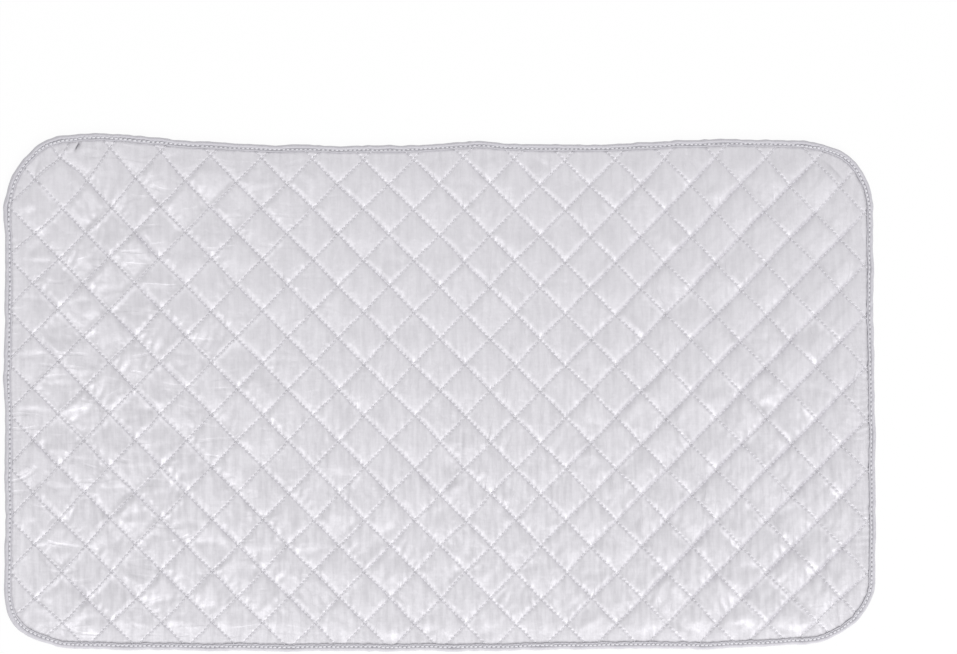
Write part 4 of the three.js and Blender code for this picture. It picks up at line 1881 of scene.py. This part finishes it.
@dataclass
class EdgeBinding:
    """The folded tape round the edge, with its row of stitches."""

    plan: Plan
    step: float = 1.1
    stitch_pitch: float = 4.35
    stitch_inset: float = 4.2
    stitch_top: float = 4.85
    stitch_bottom: float = 0.95
    sink: float = 0.8
    sink_back: Onset = Onset(180.0, 225.0)
    sink_back_middle: float = 40.0
    sink_back_half: Onset = Onset(340.0, 280.0)
    sink_sides: Onset = Onset(370.0, 412.0)
    sink_sides_half: Onset = Onset(190.0, 140.0)
    sink_left_share: float = 0.5
    loose_from: float = 1.5
    mid_height: float = 3.4
    slant: float = 0.9
    pucker: float = 0.22
    pucker_sideways: float = 0.12
    pucker_band: WaveBand = WaveBand(14, 6.5, 16.0)
    beat: float = 0.1
    edge_wave: float = 0.35
    edge_band: WaveBand = WaveBand(12, 14.0, 90.0)
    tape_width: float = 0.019
    upper: StitchForm = StitchForm(length=3.8, radius=0.92, rise=0.35, dive=0.9)
    lower: StitchForm = StitchForm(length=3.5, radius=0.4, rise=0.15, dive=0.4, rings=5, sides=5)
    profile: tuple[tuple[float, float], ...] = (
        (6.0, 4.35),
        (6.35, 4.45),
        (6.5, 4.8),
        (6.3, 5.2),
        (5.9, 5.4),
        (5.5, 5.35),
        (5.0, 4.95),
        (4.2, 4.6),
        (3.4, 4.95),
        (2.8, 5.5),
        (2.0, 5.75),
        (1.2, 5.45),
        (0.5, 4.8),
        (0.1, 3.9),
        (0.05, 3.0),
        (0.3, 2.0),
        (0.9, 1.1),
        (1.9, 0.6),
        (3.0, 0.55),
        (4.2, 0.9),
        (5.4, 0.55),
        (6.6, 0.6),
        (7.1, 1.0),
        (6.9, 1.5),
        (5.6, 1.45),
        (4.2, 1.5),
        (2.4, 1.4),
        (1.1, 2.4),
        (0.8, 3.3),
        (1.1, 4.3),
        (2.3, 4.95),
        (4.2, 4.15),
        (5.4, 4.5),
    )
    outside: int = 24
    seed: int = 41

    def rings(self) -> Array:
        """Spaces the tape's cross-sections evenly.

        Returns:
            Their distances along the edge.
        """
        girth = self.plan.outline.girth
        count = round(girth / self.step)
        return np.arange(count) * girth / count

    def build(self, tape: bpy.types.Material, thread: bpy.types.Material) -> list[bpy.types.Object]:
        """Builds the tape and its stitches.

        Args:
            tape: The tape's finish.
            thread: The thread's finish.

        Returns:
            The three new pieces.
        """
        along = self.rings()
        section = np.array(self.profile)
        rim, way_out = self.plan.outline.rim(along)
        inset, height = self._pucker(along, section)
        points = np.empty((len(along), len(section), 3))
        points[..., :2] = rim[:, None] - way_out[:, None] * inset[..., None]
        points[..., 2] = height
        flat = points.reshape(-1, 3)
        flat[:, :2] = self.plan.lie.place(flat[:, :2])
        number = np.arange(len(flat)).reshape(len(along), len(section))
        ahead = np.roll(number, -1, axis=0)
        faces = np.stack([number, np.roll(number, -1, 1), np.roll(ahead, -1, 1), ahead], axis=-1)
        gone = np.concatenate([[0.0], np.cumsum(np.hypot(*np.diff(section, axis=0).T))])
        plan = np.stack(np.broadcast_arrays(along[:, None], gone[None, :]), axis=-1)
        piece = Shape(flat, faces.reshape(-1, 4), plan.reshape(-1, 2)).piece("binding_tape", tape)
        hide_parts("edge_binding")
        self.plan.outline.girth * MM
        return [piece, *self._stitches(thread)]

    def _pucker(self, along: Array, section: Array) -> tuple[Array, Array]:
        """Puckers the tape between its stitches and lets its edge wander.

        Args:
            along: Places of the cross-sections.
            section: The cross-section's points.

        Returns:
            The inset and the height of every point.
        """
        rng = np.random.default_rng(self.seed)
        girth = self.plan.outline.girth
        outer = np.arange(len(section)) < self.outside
        off_seam = np.abs(section[:, 0] - self.stitch_inset) / self.loose_from
        loose = np.where(outer, np.minimum(off_seam, 1.0), 0.0)
        upper = np.where(section[:, 1] > self.mid_height, 1.0, -1.0)
        slanted = along[:, None] + self.slant * section[None, :, 0]
        total = self.pucker_band.round_edge(rng, slanted, girth)
        beat = np.cos(along * TURN / self.stitch_pitch)[:, None]
        height = section[None, :, 1] + upper * loose * (self.pucker * total + self.beat * beat)
        wander = self.edge_band.round_edge(rng, along, girth)[:, None]
        inset = section[None, :, 0] + self.edge_wave * wander + self.pucker_sideways * loose * total
        return inset, height

    def _sunk(self, xy: Array) -> Array:
        """Gives how deep stitches sink into the tape.

        Args:
            xy: Plan points of the stitches.

        Returns:
            The depths: most along the back and the right, less at the left.
        """
        off_middle = np.abs(xy[:, 0] - self.sink_back_middle)
        behind = self.sink_back.at(xy[:, 1]) * self.sink_back_half.at(off_middle)
        beside = self.sink_sides.at(np.abs(xy[:, 0])) * self.sink_sides_half.at(np.abs(xy[:, 1]))
        share = np.where(xy[:, 0] > 0.0, 1.0, self.sink_left_share)
        return self.sink * np.maximum(behind, beside * share)

    def _stitches(self, material: bpy.types.Material) -> list[bpy.types.Object]:
        """Builds the binding's stitches above and below.

        Args:
            material: The thread's finish.

        Returns:
            The two new pieces.
        """
        girth = self.plan.outline.girth
        count = round(girth / self.stitch_pitch)
        along = (np.arange(count) + 0.5) * girth / count
        rim, way_out = self.plan.outline.rim(along)
        seam = rim - way_out * self.stitch_inset
        lying = self.plan.lie.place(seam)
        heading = np.stack([-way_out[:, 1], way_out[:, 0]], axis=1)
        made = []
        for side, form, heights, up in (
            ("needle", self.upper, self.stitch_top - self._sunk(seam), 1.0),
            ("bobbin", self.lower, np.full(count, self.stitch_bottom), -1.0),
        ):
            shape = form.lay(lying, heading, heights, up)
            piece = shape.piece(f"binding_{side}_stitches", material)
            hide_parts(f"binding_{side}_thread")
            made.append(piece)
        return made


@dataclass
class CornerMagnets:
    """The four magnets and their pockets, which stay as they are in the frame."""

    corners: tuple[str, ...] = ("back_right", "back_left", "front_left", "front_right")

    def middles(self) -> list[Array]:
        """Gives the plan points of the pockets' middles, in millimetres."""
        boxes = [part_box(f"magnet_pocket_{corner}") for corner in self.corners]
        return [np.array([(low[axis] + high[axis]) / 2 for axis in range(2)]) / MM for low, high in boxes]

    def dress(self, magnet: bpy.types.Material, pocket: bpy.types.Material) -> None:
        """Gives the magnets and the pockets their finishes.

        Args:
            magnet: The magnets' finish.
            pocket: The pockets' finish.
        """
        for corner in self.corners:
            for node, material, slot in (
                (f"corner_magnet_{corner}", magnet, Slot.MAGNET),
                (f"magnet_pocket_{corner}", pocket, Slot.POCKET),
            ):
                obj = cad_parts[node]
                obj.data.materials.clear()
                obj.data.materials.append(material)
                LOG.info("%s: dressed", node)


# Light and camera


@dataclass
class Studio:
    """The white floor, the soft light and the camera."""

    lens: float = 500.0
    sensor: float = 36.0
    distance: float = 12.545
    yaw: float = math.radians(15.2)
    right_by: float = 0.0346
    up_by: float = 0.0654
    floor_size: float = 8.0
    fill: float = 0.80
    key_power: float = 112.0
    key_size: float = 2.4
    key_at: tuple[float, float, float] = (0.95, -3.65, 3.05)
    floor_shade: Colour = (0.93, 0.93, 0.93, 1.0)
    floor_drop: float = 0.2
    white: Colour = (1.0, 1.0, 1.0, 1.0)
    white_share: float = 0.94
    far: float = 100.0

    def build(self) -> None:
        """Sets the whole studio."""
        self._camera()
        self._floor()
        self._lights()
        bpy.context.scene.view_settings.view_transform = "Standard"

    def _camera(self) -> None:
        """Makes the camera, a long lens a little off the upright."""
        data = bpy.data.cameras.new("camera")
        data.lens = self.lens
        data.sensor_width = self.sensor
        data.clip_end = self.far
        camera = bpy.data.objects.new("camera", data)
        away = Vector((-math.sin(self.yaw), 0.0, math.cos(self.yaw)))
        right = Vector((math.cos(self.yaw), 0.0, math.sin(self.yaw)))
        camera.location = away * self.distance + right * self.right_by + Vector((0.0, self.up_by, 0.0))
        camera.rotation_euler = (0.0, -self.yaw, 0.0)
        bpy.context.scene.collection.objects.link(camera)
        bpy.context.scene.camera = camera

    def _floor(self) -> None:
        """Lays the white floor, which keeps a faint shadow."""
        half = self.floor_size / 2
        corners = [(-half, -half, 0.0), (half, -half, 0.0), (half, half, 0.0), (-half, half, 0.0)]
        mesh = bpy.data.meshes.new("floor")
        mesh.from_pydata(corners, [], [(0, 1, 2, 3)])
        floor = bpy.data.objects.new("floor", mesh)
        floor.location.z = -self.floor_drop * MM
        bpy.context.scene.collection.objects.link(floor)
        book = NodeBook("white_floor")
        matt = book.node("ShaderNodeBsdfDiffuse", inputs={"Color": self.floor_shade})
        glow = book.node("ShaderNodeEmission", inputs={"Color": self.white, "Strength": 1.0})
        rays = ("Is Camera Ray", "Is Glossy Ray", "Is Transmission Ray")
        seen, glossy, through = (book.node("ShaderNodeLightPath", output=ray) for ray in rays)
        share = (seen + glossy + through).least(1.0) * self.white_share
        mixed = book.node("ShaderNodeMixShader", inputs={0: share, 1: matt, 2: glow})
        mesh.materials.append(book.finish(mixed))

    def _lights(self) -> None:
        """Sets an even sky and one soft lamp at the front."""
        world = bpy.data.worlds.new("sky")
        world.use_nodes = True
        sky = world.node_tree.nodes["Background"]
        sky.inputs["Color"].default_value = self.white
        sky.inputs["Strength"].default_value = self.fill
        bpy.context.scene.world = world
        data = bpy.data.lights.new("front_lamp", "AREA")
        data.energy = self.key_power
        data.size = self.key_size
        lamp = bpy.data.objects.new("front_lamp", data)
        lamp.location = self.key_at
        lamp.rotation_mode = "QUATERNION"
        lamp.rotation_quaternion = (-Vector(self.key_at)).to_track_quat("-Z", "Y")
        bpy.context.scene.collection.objects.link(lamp)


def main() -> None:
    """Builds the pad, its finishes, the light and the camera."""
    logging.basicConfig(level=logging.INFO, format="%(name)s: %(message)s")
    plan = Plan()
    Studio().build()
    magnets = CornerMagnets()
    relief = PuffRun(plan).run()
    pockets = PocketSites(plan, tuple(magnets.middles()))
    face = FaceCloth(plan, relief, CreaseField(plan), pockets)
    backing = BackingCloth(plan, pockets)
    grey_thread = SpunThread("grey_quilting_thread", paint(226, 224, 230), paint(246, 245, 249))
    pale_thread = SpunThread("pale_binding_thread", paint(214, 213, 218), paint(235, 234, 239))
    face.build(CoatedCloth(plan.quilt).material())
    backing.build(PlainWeave("pale_backing_weave", paint(196, 195, 199), paint(222, 221, 224)).material())
    Wadding(plan, face, backing).build(FeltedFibre().material())
    Quilting(plan, face, backing).build(grey_thread.material())
    EdgeBinding(plan).build(BindingTape().material(), pale_thread.material())
    pocket_cloth = PlainWeave("white_pocket_weave", paint(226, 225, 222), paint(244, 243, 240), weave=0.6)
    magnets.dress(FerriteMagnet().material(), pocket_cloth.material())


if __name__ == "__main__":
    main()
